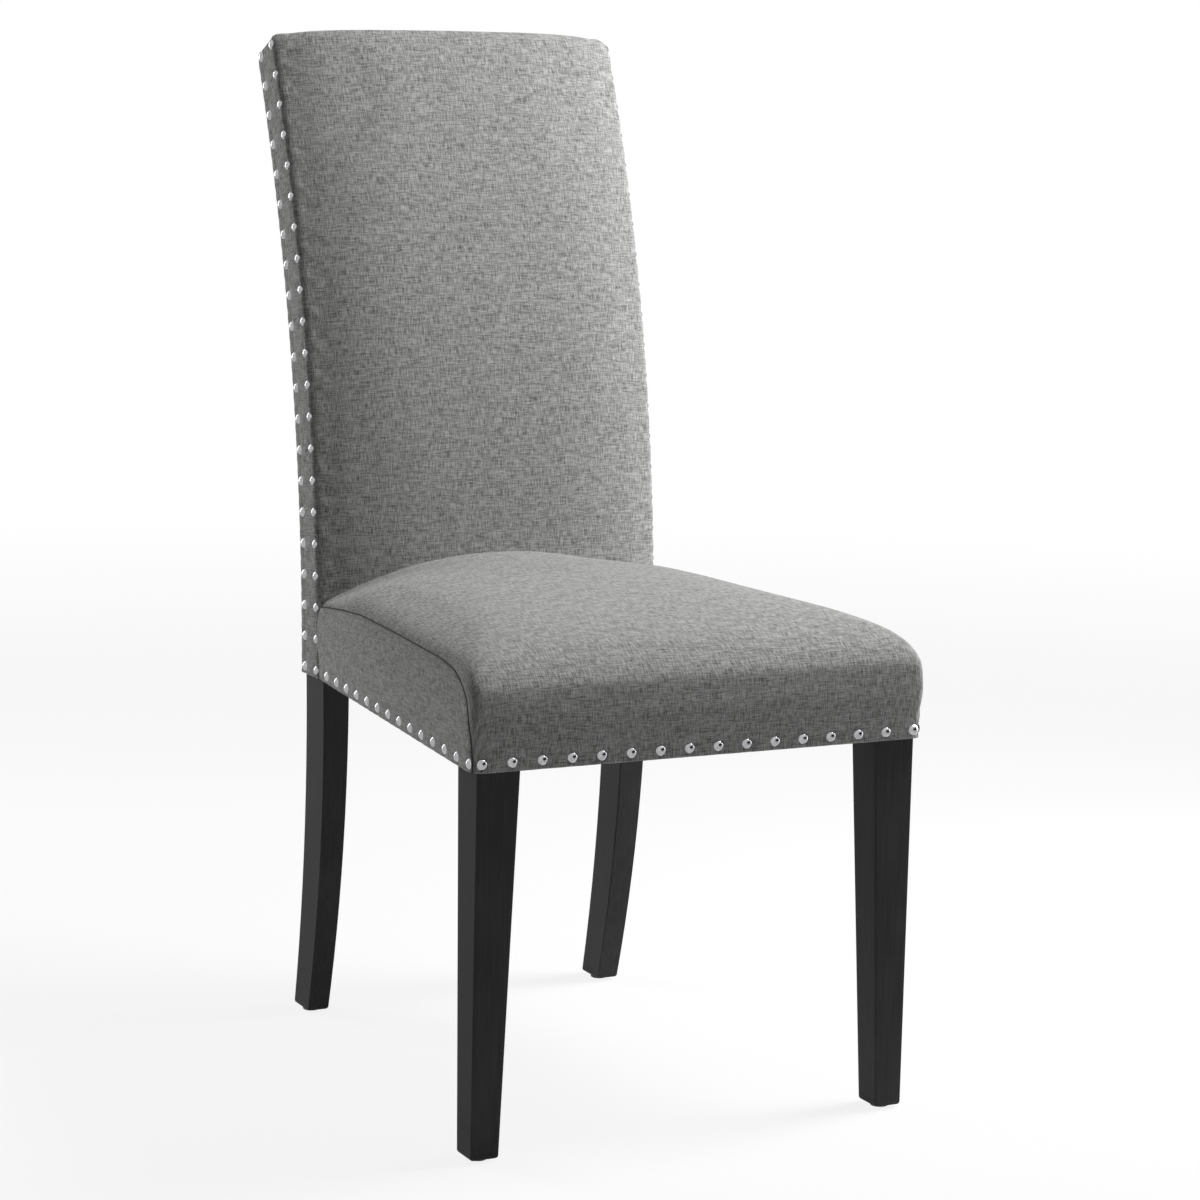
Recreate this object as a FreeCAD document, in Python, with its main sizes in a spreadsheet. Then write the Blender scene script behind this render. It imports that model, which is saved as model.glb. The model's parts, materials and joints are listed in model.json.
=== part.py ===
"""Upholstered side chair: a wooden frame with saber rear posts, foam, fabric covers and nail trim.

X runs to the right of someone who looks at its front, Y rearwards and Z up, in millimetres.
The origin lies on the floor under the middle of the chair.
"""
import FreeCAD, Part
import math
import os
import re

import Sketcher

V = FreeCAD.Vector

# Driving sizes. The hem is the lower edge of the covers, and a mark is a height on the front arc
# of the back, whose depth is measured from that arc towards the rear.
SIZES = (
    ("hem_height", 366), ("seat_hem_width", 470), ("seat_hem_depth", 470), ("seat_side_height", 89),
    ("seat_crown", 33), ("seat_bulge", 3), ("seat_corner_round", 8), ("seat_crown_width", 170),
    ("seat_front_roll", 220), ("seat_rear_roll", 110), ("seat_rear_lap", 3.2), ("seam_inset", 12), ("seam_strip", 14),
    ("back_width", 382), ("back_thickness", 53), ("back_top_mark", 1017), ("back_bend_height", 345),
    ("back_bend_radius", 1630), ("back_crown", 13), ("back_front_round", 9), ("back_rear_round", 5),
    ("back_top_round", 15), ("cover_thickness", 1.2), ("soft_clearance", 0.3), ("cut_overrun", 20),
    ("rail_height", 64), ("rail_thickness", 22), ("rail_base_gap", 1.6), ("board_thickness", 12),
    ("board_edge_inset", 10), ("dust_cover_thickness", 0.8), ("dust_cover_gap", 1),
    ("leg_front_inset", 3.5), ("leg_side_inset", 6.5), ("leg_width", 43), ("leg_depth", 44),
    ("leg_foot_width", 28), ("leg_foot_depth", 33), ("leg_arris", 2), ("glide_height", 3),
    ("glide_radius", 9), ("glide_pin_radius", 1.5), ("glide_pin_length", 12),
    ("post_front_inset", 3), ("post_rear_inset", 2.6), ("post_width", 32), ("post_shoulder", 3.5),
    ("post_foot_taper", 5.5), ("post_foot_setback", 50), ("post_foot_depth", 38.5),
    ("post_top_gap", 8), ("post_top_bevel", 6.2), ("post_front_round", 6.5), ("post_rear_bevel", 2.2),
    ("post_arris", 1), ("liner_thickness", 0.8),
    ("back_frame_gap", 18), ("back_panel_thickness", 4), ("back_panel_gap", 2),
    ("back_rail_thickness", 22), ("back_rail_height", 52), ("back_rail_gap", 26), ("pad_start_gap", 28),
    ("block_length", 46), ("block_height", 30), ("block_base_gap", 14),
    ("nail_head_radius", 5.4), ("nail_head_height", 3.2), ("nail_shank_radius", 0.9),
    ("nail_length", 8), ("nail_hem_gap", 8), ("nail_pitch", 30), ("side_nail_pitch", 34),
    ("back_nail_pitch", 32), ("nail_corner_gap", 9.5), ("back_nail_front", 9),
    ("back_nail_rear", 40), ("back_nail_top_gap", 13), ("fit_clearance", 0.05),
    ("dowel_radius", 4), ("dowel_length", 32), ("dowel_spacing", 32), ("screw_radius", 2),
    ("board_screw_length", 38), ("block_screw_length", 26), ("screw_head_radius", 4),
    ("screw_head_height", 2.4), ("bolt_radius", 3.5), ("bolt_head_radius", 7),
    ("bolt_head_height", 4), ("bolt_length", 78), ("bolt_sink", 0.6),
    ("leg_bolt_length", 46), ("washer_radius", 9), ("washer_thickness", 1.6), ("nut_radius", 6.5),
    ("nut_height", 5.5), ("bolt_spacing", 30),
)

# Sizes worked out from the driving ones.
DERIVED = (
    ("rail_inset", "cover_thickness + soft_clearance"),
    ("rail_base", "hem_height + rail_base_gap"),
    ("rail_top", "rail_base + rail_height"),
    ("board_top", "rail_top + board_thickness"),
    ("seam_height", "hem_height + seat_side_height"),
    ("crown_height", "seam_height + seat_crown"),
    ("seat_side_roll", "(seat_hem_width - seat_crown_width) / 2"),
    ("side_slope", "(seat_hem_width - back_width) / 2 / seat_hem_depth"),
    ("top_lean", "(back_top_mark - back_top_round - back_bend_height) / back_bend_radius"),
    ("back_reach", "back_bend_radius + back_top_round"
     " - (back_bend_radius - back_thickness + back_top_round) * sqrt(1 - top_lean ^ 2)"),
    ("front_reach", "nail_head_height + fit_clearance"),
    ("front_y", "0 - (seat_hem_depth + back_reach - front_reach) / 2"),
    ("back_y", "front_y + seat_hem_depth"),
    ("arc_y", "back_y + back_bend_radius"),
    ("post_top_mark", "back_top_mark - post_top_gap"),
    ("frame_top_mark", "back_top_mark - back_frame_gap"),
    ("post_outer", "back_width / 2 - rail_inset"),
    ("post_inner", "post_outer - post_width"),
    ("post_rear_depth", "back_thickness - post_rear_inset"),
    ("post_front_y", "back_y + post_front_inset"),
    ("post_foot_front", "back_y + post_foot_setback"),
    ("post_foot_rear", "post_foot_front + post_foot_depth"),
    ("bend_drop", "back_bend_height - glide_height"),
    ("front_sweep", "post_foot_front - post_front_y"),
    ("rear_sweep", "post_foot_rear - back_y - post_rear_depth"),
    ("post_front_radius", "(bend_drop ^ 2 + front_sweep ^ 2) / (2 * front_sweep)"),
    ("post_rear_radius", "(bend_drop ^ 2 + rear_sweep ^ 2) / (2 * rear_sweep)"),
    ("leg_outer", "seat_hem_width / 2 - leg_side_inset"),
    ("leg_inner", "leg_outer - leg_width"),
    ("leg_front_y", "front_y + leg_front_inset"),
    ("leg_rear_y", "leg_front_y + leg_depth"),
    ("frame_front_y", "front_y + rail_inset"),
    ("rail_back_y", "frame_front_y + rail_thickness"),
    ("frame_half_width", "seat_hem_width / 2 - rail_inset"),
    ("rear_rail_back_y", "post_front_y + rail_thickness"),
    ("back_rail_front", "post_front_inset + back_panel_thickness"),
    ("back_rail_rear", "back_rail_front + back_rail_thickness"),
    ("top_back_rail_mark", "frame_top_mark - back_rail_height"),
    ("lower_back_rail_mark", "board_top + back_rail_gap"),
    ("middle_back_rail_mark", "(lower_back_rail_mark + top_back_rail_mark) / 2"),
    ("panel_mark", "board_top + back_panel_gap"),
    ("block_base", "rail_base + block_base_gap"),
    ("block_middle", "block_base + block_height / 2"),
    ("rail_middle", "rail_base + rail_height / 2"),
)

doc = FreeCAD.newDocument("side_chair")
sheet = doc.addObject("Spreadsheet::Sheet", "sizes")
for row, (alias, amount) in enumerate(SIZES + DERIVED, 1):
    sheet.set("A%d" % row, alias)
    sheet.set("B%d" % row, str(amount) if row <= len(SIZES) else "=" + amount)
    sheet.setAlias("B%d" % row, alias)
doc.recompute()
NAMES = {alias for alias, amount in SIZES + DERIVED}
nodes = []


def sheet_text(text):
    """An expression with each alias pointed at the sheet."""
    return re.sub(r"[a-z_]+", lambda word: "sizes." + word[0] if word[0] in NAMES else word[0], text)


def size(text):
    """The value of an alias or of a sum of aliases."""
    return float(sheet.evalExpression(sheet_text(text)))


def keep(item, label):
    """List an object as a sub-part under its own label."""
    item.Label = label
    nodes.append(item)
    return item


def own_shape(label, shape):
    """A sub-part whose shape is worked out here."""
    item = doc.addObject("Part::Feature", label)
    item.Shape = shape
    item.Placement = FreeCAD.Placement()
    return keep(item, label)


def new_body(name):
    return doc.addObject("PartDesign::Body", name)


def outline(body, name, plane, corners, arcs=None, offset=None):
    """A closed sketch through corners given as expressions. arcs maps the number of a side to its
    radius and to 1 or -1, as the centre lies to the left or to the right of the way round."""
    sketch = body.newObject("Sketcher::SketchObject", name)
    origin_plane = [item for item in body.Origin.OriginFeatures if item.Role == plane][0]
    sketch.AttachmentSupport = [(origin_plane, "")]
    sketch.MapMode = "FlatFace"
    if offset:
        sketch.setExpression("AttachmentOffset.Base.z", sheet_text(offset))
    points = [V(size(across), size(up), 0) for across, up in corners]
    ends = []
    for side, start in enumerate(points):
        stop = points[(side + 1) % len(points)]
        if arcs and side in arcs:
            radius = size(arcs[side][0])
            chord = stop - start
            rise = math.sqrt(radius ** 2 - (chord.Length / 2) ** 2)
            centre = (start + stop) / 2 + V(-chord.y, chord.x, 0).normalize() * rise * arcs[side][1]
            first, last = (start, stop) if arcs[side][1] > 0 else (stop, start)
            turns = [math.atan2(point.y - centre.y, point.x - centre.x) for point in (first, last)]
            circle = Part.Circle(centre, V(0, 0, 1), radius)
            sketch.addGeometry(Part.ArcOfCircle(circle, turns[0], turns[1]), False)
            number = sketch.addConstraint(Sketcher.Constraint("Radius", side, radius))
            sketch.setExpression("Constraints[%d]" % number, sheet_text(arcs[side][0]))
            ends.append((1, 2) if arcs[side][1] > 0 else (2, 1))
        else:
            sketch.addGeometry(Part.LineSegment(start, stop), False)
            ends.append((1, 2))
    for side, start in enumerate(points):
        following = (side + 1) % len(points)
        sketch.addConstraint(
            Sketcher.Constraint("Coincident", side, ends[side][1], following, ends[following][0]))
        for kind, place, text in (("DistanceX", start.x, corners[side][0]),
                                  ("DistanceY", start.y, corners[side][1])):
            number = sketch.addConstraint(
                Sketcher.Constraint(kind, -1, 1, side, ends[side][0], place))
            sketch.setExpression("Constraints[%d]" % number, sheet_text(text))
    return sketch


def pad(body, name, sketch, length):
    feature = body.newObject("PartDesign::Pad", name)
    feature.Profile = sketch
    feature.setExpression("Length", sheet_text(length))
    return feature


def edge_feature(body, name, base, test, kind, measure, value):
    """A feature on the edges of another that pass a test."""
    doc.recompute()
    chosen = ["Edge%d" % (number + 1) for number, edge in enumerate(base.Shape.Edges) if test(edge)]
    feature = body.newObject(kind, name)
    feature.Base = (base, chosen)
    feature.setExpression(measure, sheet_text(value))
    return feature


def round_edges(body, name, base, test, radius):
    return edge_feature(body, name, base, test, "PartDesign::Fillet", "Radius", radius)


def bevel_edges(body, name, base, test, leg):
    return edge_feature(body, name, base, test, "PartDesign::Chamfer", "Size", leg)


def cylinder(start, way, radius, length):
    return Part.makeCylinder(radius, length, start, way)


def pierced(label, base, holes):
    """A sub-part with the holes of its fasteners."""
    tool = doc.addObject("Part::Feature", label + "_holes")
    tool.Shape = Part.Compound(holes)
    cut = doc.addObject("Part::Cut", label)
    cut.Base = base
    cut.Tool = tool
    return keep(cut, label)


def mirrored(pieces):
    """Copies on the other side of the chair's middle plane."""
    return [piece.mirror(V(0, 0, 0), V(1, 0, 0)) for piece in pieces]


SIDES = (("left", -1), ("right", 1))


def frame_x(place):
    """Half the width of the seat frame at a place along Y, as an expression."""
    return "(frame_half_width - (%s - front_y) * side_slope)" % place


def on_arc(depth, mark):
    """The place along Y and Z of a point on the back, as expressions."""
    lean = "((%s - back_bend_height) / back_bend_radius)" % mark
    reach = "(back_bend_radius - (%s))" % depth
    return ("arc_y - %s * sqrt(1 - %s ^ 2)" % (reach, lean),
            "back_bend_height + %s * %s" % (reach, lean))


# Soft forms

# Each row is a height, an inset of the sides, one of the front and one of the sides' rear ends,
# where the seat is pulled down beside the back. Below the seam the insets are shares of the bulge,
# and above it they are shares of the side roll and of the front roll.
LOWER_SEAT_SHARES = ((0, 0, 0, 0), (0.18, 0, 0, 0), (0.5, -1, -1, -1), (0.82, -0.8, -0.1, -0.3))
UPPER_SEAT_SHARES = ((0, 0.01, 0.06, 0.2), (0.3, 0.07, 0.14, 0.36), (0.58, 0.2, 0.29, 0.55),
                     (0.8, 0.4, 0.5, 0.74), (0.95, 0.7, 0.76, 0.96), (1, 1, 1, 1.14))
# How fast the front corners open out as the seat rolls over.
CORNER_OPENING_SHARE = 0.12
TOP_SPANS = 4


def seat_section(height, side_inset, front_inset, corner_round, rear_inset=None):
    """The plan of the seat at one height: a round at each front corner and sides with a knee."""
    front, rear = size("front_y") + front_inset, size("back_y") + size("seat_rear_lap")
    slope = size("side_slope")
    half = size("seat_hem_width") / 2 - side_inset
    corner = V(half - front_inset * slope, front, height)
    knee_y = rear - size("seat_rear_roll")
    knee = V(half - (knee_y - size("front_y")) * slope, knee_y, height)
    tail = V(half - (rear - size("front_y")) * slope, rear, height)
    if rear_inset is not None:
        tail.x += side_inset - rear_inset
    along = (knee - corner).normalize()
    half_turn = (math.pi / 2 - math.atan(slope)) / 2
    run = corner_round / math.tan(half_turn)
    inward = (along + V(-1, 0, 0)).normalize()
    on_front = corner + V(-1, 0, 0) * run
    on_side = corner + along * run
    middle = corner + inward * (corner_round / math.sin(half_turn) - corner_round)
    flip = [V(-point.x, point.y, point.z) for point in (on_front, middle, on_side, knee, tail)]
    return Part.Wire([
        Part.makeLine(flip[0], on_front), Part.Arc(on_front, middle, on_side).toShape(),
        Part.makeLine(on_side, knee), Part.makeLine(knee, tail), Part.makeLine(tail, flip[4]),
        Part.makeLine(flip[4], flip[3]), Part.makeLine(flip[3], flip[2]),
        Part.Arc(flip[2], flip[1], flip[0]).toShape()])


def seat_form(inset, drop=0):
    """The seat's upholstered form, drawn in by an inset all round and run down by a drop."""
    hem, side_height, crown = size("hem_height"), size("seat_side_height"), size("seat_crown")
    shrink = 1 - inset / (side_height + crown)
    bulge, side_roll, front_roll = size("seat_bulge"), size("seat_side_roll"), size("seat_front_roll")
    rows = [(share * side_height, side * bulge, front * bulge, rear * bulge)
            for share, side, front, rear in LOWER_SEAT_SHARES]
    rows += [(side_height + share * crown, side * side_roll, front * front_roll, rear * side_roll)
             for share, side, front, rear in UPPER_SEAT_SHARES]
    if drop:
        rows.insert(0, (-drop / shrink, 0, 0, 0))
    sections = []
    for height, side, front, rear in rows:
        opening = CORNER_OPENING_SHARE * (max(side, 0) + max(front, 0))
        sections.append(seat_section(hem + height * shrink, side + inset, front + inset,
                                     size("seat_corner_round") - inset + opening, rear + inset))
    return Part.makeLoft(sections, True, True)


def arc_place(across, depth, turn):
    """A point of the back from its place along X, its depth and its turn about the bend's axis."""
    reach = size("back_bend_radius") - depth
    return V(across, size("arc_y") - reach * math.cos(turn),
             size("back_bend_height") + reach * math.sin(turn))


def turn_at(mark):
    return math.asin((mark - size("back_bend_height")) / size("back_bend_radius"))


def back_section(inset, shrink, turn):
    """The back's section across its bend: crowned in front, with rounded edges."""
    half = size("back_width") / 2
    round_front, round_rear = size("back_front_round"), size("back_rear_round")
    slope = 2 * math.atan(size("back_crown") / (half - round_front))
    side = half - inset - shrink
    front, rear = inset + shrink, size("back_thickness") - inset - shrink
    round_front, round_rear = round_front - inset, round_rear - inset

    def corner(radius, depth, toward, angle):
        across = side - radius + radius * math.cos(angle)
        return across, depth + toward * radius * (1 - math.sin(angle))

    stop = math.pi / 2 - slope
    front_points = [corner(round_front, front, 1, angle) for angle in (0, stop / 2, stop)]
    rear_points = [corner(round_rear, rear, -1, angle) for angle in (math.pi / 2, math.pi / 4, 0)]
    crown = front_points[2][1] - front_points[2][0] * math.tan(slope / 2)
    place = [[arc_place(sign * across, depth, turn) for across, depth in front_points + rear_points]
             for sign in (1, -1)]
    right, left = place
    return Part.Wire([
        Part.makeLine(right[5], right[0]), Part.Arc(right[0], right[1], right[2]).toShape(),
        Part.Arc(right[2], arc_place(0, crown, turn), left[2]).toShape(),
        Part.Arc(left[2], left[1], left[0]).toShape(), Part.makeLine(left[0], left[5]),
        Part.Arc(left[5], left[4], left[3]).toShape(), Part.makeLine(left[3], right[3]),
        Part.Arc(right[3], right[4], right[5]).toShape()])


def back_form(inset, drop=0):
    """The back's upholstered form, drawn in by an inset all round and run down by a drop."""
    reach = size("back_bend_radius")
    low = turn_at(size("hem_height")) - drop / reach
    high = turn_at(size("back_top_mark")) - inset / reach
    top_round = size("back_top_round")
    start = high - top_round / reach
    axis_place = V(0, size("arc_y"), size("back_bend_height"))
    bend = Part.Face(back_section(inset, 0, low)).revolve(axis_place, V(-1, 0, 0),
                                                          math.degrees(start - low))
    sections = []
    for step in range(TOP_SPANS + 1):
        angle = math.pi / 2 * step / TOP_SPANS
        sections.append(back_section(inset, top_round * (1 - math.cos(angle)),
                                     start + top_round * math.sin(angle) / reach))
    return bend.fuse(Part.makeLoft(sections, True, True)).removeSplitter()


def arc_slab(low_mark, high_mark, front, rear, left, right):
    """A slab of the back between two marks, two depths and two places across."""
    low, high = turn_at(low_mark), turn_at(high_mark)
    middle = (low + high) / 2
    corners = [arc_place(left, depth, turn) for depth, turn in
               ((front, low), (front, middle), (front, high), (rear, high), (rear, middle), (rear, low))]
    wire = Part.Wire([
        Part.Arc(corners[0], corners[1], corners[2]).toShape(), Part.makeLine(corners[2], corners[3]),
        Part.Arc(corners[3], corners[4], corners[5]).toShape(), Part.makeLine(corners[5], corners[0])])
    return Part.Face(wire).extrude(V(right - left, 0, 0))


def seat_prism(inset, low, high, corner_round):
    """A plain prism inside the seat's hem."""
    section = seat_section(low, inset, inset, corner_round)
    return Part.Face(section).extrude(V(0, 0, high - low))


# Nails

def nail(place, way):
    """A domed nail whose head sits on the cover and whose shank runs into the wood."""
    head, rise, shank = size("nail_head_radius"), size("nail_head_height"), size("nail_shank_radius")
    length = size("nail_length")
    ball = (head ** 2 + rise ** 2) / (2 * rise)
    middle = math.asin(head / ball) / 2
    crest = V(ball * math.sin(middle), 0, rise - ball + ball * math.cos(middle))
    profile = Part.Wire([
        Part.makeLine(V(0, 0, -length), V(shank, 0, -length)),
        Part.makeLine(V(shank, 0, -length), V(shank, 0, 0)),
        Part.makeLine(V(shank, 0, 0), V(head, 0, 0)),
        Part.Arc(V(head, 0, 0), crest, V(0, 0, rise)).toShape(),
        Part.makeLine(V(0, 0, rise), V(0, 0, -length))])
    shape = Part.Face(profile).revolve(V(0, 0, 0), V(0, 0, 1), 360)
    shape.Placement = FreeCAD.Placement(place + way * size("fit_clearance"),
                                        FreeCAD.Rotation(V(0, 0, 1), way))
    return shape


def nail_hole(place, way):
    length = size("nail_length") + size("fit_clearance")
    radius = size("nail_shank_radius") + size("fit_clearance")
    return cylinder(place + way * size("cut_overrun") / 2, -way, radius, length + size("cut_overrun") / 2)


def spread(first, last, pitch):
    """Evenly spaced places whose step is as near to the pitch as the span allows."""
    steps = max(1, round(abs(last - first) / pitch))
    return [first + (last - first) * step / steps for step in range(steps + 1)]


nail_height = size("hem_height + nail_hem_gap")
slope = size("side_slope")
side_way = V(1, slope, 0).normalize()
front_nails = [(V(across, size("front_y"), nail_height), V(0, -1, 0)) for across in
               spread(-size("seat_hem_width / 2 - nail_corner_gap"),
                      size("seat_hem_width / 2 - nail_corner_gap"), size("nail_pitch"))]
side_places = spread(size("front_y + nail_corner_gap"), size("back_y + back_nail_front"),
                     size("side_nail_pitch"))[:-1]
side_nails = [(V(size("seat_hem_width / 2") - (along - size("front_y")) * slope, along, nail_height),
               side_way) for along in side_places]
back_turns = spread(turn_at(nail_height), turn_at(size("back_top_mark - back_nail_top_gap")),
                    size("back_nail_pitch / back_bend_radius"))
back_nails = {}
for column, depth in (("front", size("back_nail_front")), ("rear", size("back_nail_rear"))):
    back_nails[column] = [(arc_place(size("back_width / 2"), depth, turn), V(1, 0, 0))
                          for turn in back_turns]
front_nail_holes = [nail_hole(place, way) for place, way in front_nails]
side_nail_holes = [nail_hole(place, way) for place, way in side_nails]
back_nail_holes = [nail_hole(place, way) for place, way in back_nails["front"] + back_nails["rear"]]


def both(pieces):
    return pieces + mirrored(pieces)


# Wooden joints: dowels, screws and bolts as places, ways and lengths

def two_heights(middle, spacing):
    return (middle - spacing / 2, middle + spacing / 2)


dowel_half = size("dowel_length / 2")
seat_dowels = []
for height in two_heights(size("rail_middle"), size("dowel_spacing")):
    front_joint = V(size("leg_inner"), size("frame_front_y + rail_thickness / 2"), height)
    rear_joint = V(size("post_inner"), size("post_front_y + rail_thickness / 2"), height)
    seat_dowels += [(joint - V(dowel_half, 0, 0), V(1, 0, 0)) for joint in (front_joint, rear_joint)]
    rail_x = size(frame_x("leg_rear_y") + " - rail_thickness / 2")
    seat_dowels.append((V(rail_x, size("leg_rear_y") - dowel_half, height), V(0, 1, 0)))
back_dowels = []
for mark in ("lower_back_rail_mark", "middle_back_rail_mark", "top_back_rail_mark"):
    middle = turn_at(size(mark + " + back_rail_height / 2"))
    depth = size("(back_rail_front + back_rail_rear) / 2")
    for turn in two_heights(middle, size("dowel_spacing / back_bend_radius")):
        back_dowels.append((arc_place(size("post_inner") - dowel_half, depth, turn), V(1, 0, 0)))


def dowel(place, way, clearance=0):
    start = place - way * clearance
    return cylinder(start, way, size("dowel_radius") + clearance, 2 * (dowel_half + clearance))


fit = size("fit_clearance")
seat_dowel_holes = both([dowel(place, way, fit) for place, way in seat_dowels])
back_dowel_holes = both([dowel(place, way, fit) for place, way in back_dowels])


def screw(place, way, length, clearance=0):
    """A countersunk screw: a cone under a flat head and a plain shank."""
    radius, head = size("screw_radius") + clearance, size("screw_head_radius") + clearance
    rise = size("screw_head_height")
    cone = Part.makeCone(head, radius, rise, place, way)
    return cone.fuse(cylinder(place, way, radius, size(length) + clearance)).removeSplitter()


def bolt(place, way, clearance=0):
    """A bolt whose flat round head is sunk under the surface that it enters."""
    radius, head = size("bolt_radius") + clearance, size("bolt_head_radius") + clearance
    lead = size("bolt_head_height") if clearance else 0
    cap = cylinder(place - way * lead, way, head, size("bolt_head_height") + lead + clearance)
    return cap.fuse(cylinder(place, way, radius, size("bolt_length") + clearance)).removeSplitter()


rail_bolts = [
    (V(size("post_outer - rail_thickness / 2"),
       arc_place(0, size("post_rear_depth"), turn_at(height)).y - size("bolt_sink"), height), V(0, -1, 0))
    for height in two_heights(size("rail_middle"), size("bolt_spacing"))]
bolt_holes = both([bolt(place, way, fit) for place, way in rail_bolts])

# Glue blocks: a five-sided one behind each front leg, a three-sided one before each rear post.
block_front_corner = (("leg_inner", "rail_back_y"), ("leg_inner", "leg_rear_y"),
                      ("%s - rail_thickness" % frame_x("leg_rear_y"), "leg_rear_y"),
                      ("%s - rail_thickness" % frame_x("leg_rear_y + block_length"),
                       "leg_rear_y + block_length"),
                      ("leg_inner - block_length", "rail_back_y"))
block_rear_corner = (("%s - rail_thickness" % frame_x("post_front_y - block_length"),
                      "post_front_y - block_length"),
                     ("%s - rail_thickness" % frame_x("post_front_y"), "post_front_y"),
                     ("%s - rail_thickness - block_length" % frame_x("post_front_y"), "post_front_y"))


def plan_point(corner):
    return V(size(corner[0]), size(corner[1]), size("block_middle"))


diagonal_start, diagonal_stop = plan_point(block_front_corner[4]), plan_point(block_front_corner[3])
diagonal = (diagonal_stop - diagonal_start).normalize()
bolt_way = V(diagonal.y, -diagonal.x, 0)
leg_corner = plan_point(block_front_corner[1])
bolt_seat = diagonal_start + diagonal * (leg_corner - diagonal_start).dot(diagonal)
screw_seat = size("screw_head_radius + fit_clearance")
block_screws = []
for start, reach, way in (
        (plan_point(block_front_corner[4]), V(size("block_length") / 4, 0, 0), V(0, -1, 0)),
        (plan_point(block_front_corner[3]), V(0, -size("block_length") / 4, 0), V(1, 0, 0)),
        (plan_point(block_rear_corner[0]), V(0, size("block_length") / 4, 0), V(1, 0, 0))):
    surface = start + reach
    if way.y:
        surface = surface + V(0, reach.Length * diagonal.y / diagonal.x, 0)
    else:
        lean = diagonal.x / diagonal.y if reach.y < 0 else 1
        surface = surface - V(reach.Length * lean, 0, 0)
    block_screws.append((surface + way * screw_seat, way))


def access(place, way, radius):
    """The bore that lets a driver reach a sunk head."""
    return cylinder(place, -way, radius, size("block_length"))


block_screw_holes = both([
    screw(place, way, "block_screw_length", fit).fuse(access(place, way, size("screw_head_radius") + fit))
    for place, way in block_screws])
leg_bolt_start = bolt_seat - bolt_way * size("washer_thickness + nut_height + bolt_radius")
leg_bolt_hole = cylinder(leg_bolt_start, bolt_way, size("bolt_radius") + fit,
                         size("leg_bolt_length") + size("washer_thickness + nut_height + bolt_radius") + fit)
leg_bolt_holes = both([leg_bolt_hole])

board_screw_places = []
for along in (size("leg_rear_y + 2 * block_length"), size("post_front_y - 2 * block_length")):
    across = size("frame_half_width - (rail_thickness + board_edge_inset) / 2")
    across -= (along - size("front_y")) * slope
    board_screw_places.append((V(across, along, size("board_top")), V(0, 0, -1)))
middle_screw = V(size("leg_inner / 2"), size("frame_front_y + (rail_thickness + board_edge_inset) / 2"),
                 size("board_top"))
board_screw_places.append((middle_screw, V(0, 0, -1)))
board_screw_holes = both([screw(place, way, "board_screw_length", fit)
                          for place, way in board_screw_places])


# Seat frame

def make_front_leg(side, sign):
    """A square block between the rails over a leg that tapers on its inner faces."""
    name = "front_leg_" + side
    body = new_body(name + "_body")
    signed = "%d * " % sign
    top = outline(body, name + "_top", "XY_Plane", (
        (signed + "leg_inner", "leg_front_y"), (signed + "leg_outer", "leg_front_y"),
        (signed + "leg_outer", "leg_rear_y"), (signed + "leg_inner", "leg_rear_y")),
        offset="hem_height")
    foot_inner, foot_rear = "(leg_outer - leg_foot_width)", "leg_front_y + leg_foot_depth"
    foot = outline(body, name + "_foot", "XY_Plane", (
        (signed + foot_inner, "leg_front_y"), (signed + "leg_outer", "leg_front_y"),
        (signed + "leg_outer", foot_rear), (signed + foot_inner, foot_rear)), offset="glide_height")
    taper = body.newObject("PartDesign::AdditiveLoft", name + "_taper")
    taper.Profile = top
    taper.Sections = [foot]
    taper.Ruled = True
    drop = size("hem_height - glide_height")
    round_edges(body, name + "_arrises", taper,
                lambda edge: edge.BoundBox.ZLength > drop - size("leg_arris"), "leg_arris")
    block = outline(body, name + "_block", "XY_Plane", (
        (signed + "leg_inner", "frame_front_y"), (signed + frame_x("frame_front_y"), "frame_front_y"),
        (signed + frame_x("leg_rear_y"), "leg_rear_y"), (signed + "leg_inner", "leg_rear_y")),
        offset="hem_height")
    upper = pad(body, name + "_block_pad", block, "rail_top - hem_height")

    def outer_corner(edge):
        box = edge.BoundBox
        return (box.ZMin > size("hem_height") - fit and box.ZLength > size("rail_height / 2")
                and box.YMax < size("leg_front_y") and sign * box.Center.x > size("leg_outer"))

    round_edges(body, name + "_corner", upper, outer_corner, "seat_corner_round - rail_inset")
    holes = seat_dowel_holes + leg_bolt_holes + both(front_nail_holes[-3:] + side_nail_holes[:3])
    pin = glide_pins[("front", side)]
    return pierced(name, body, holes + [pin])


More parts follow.
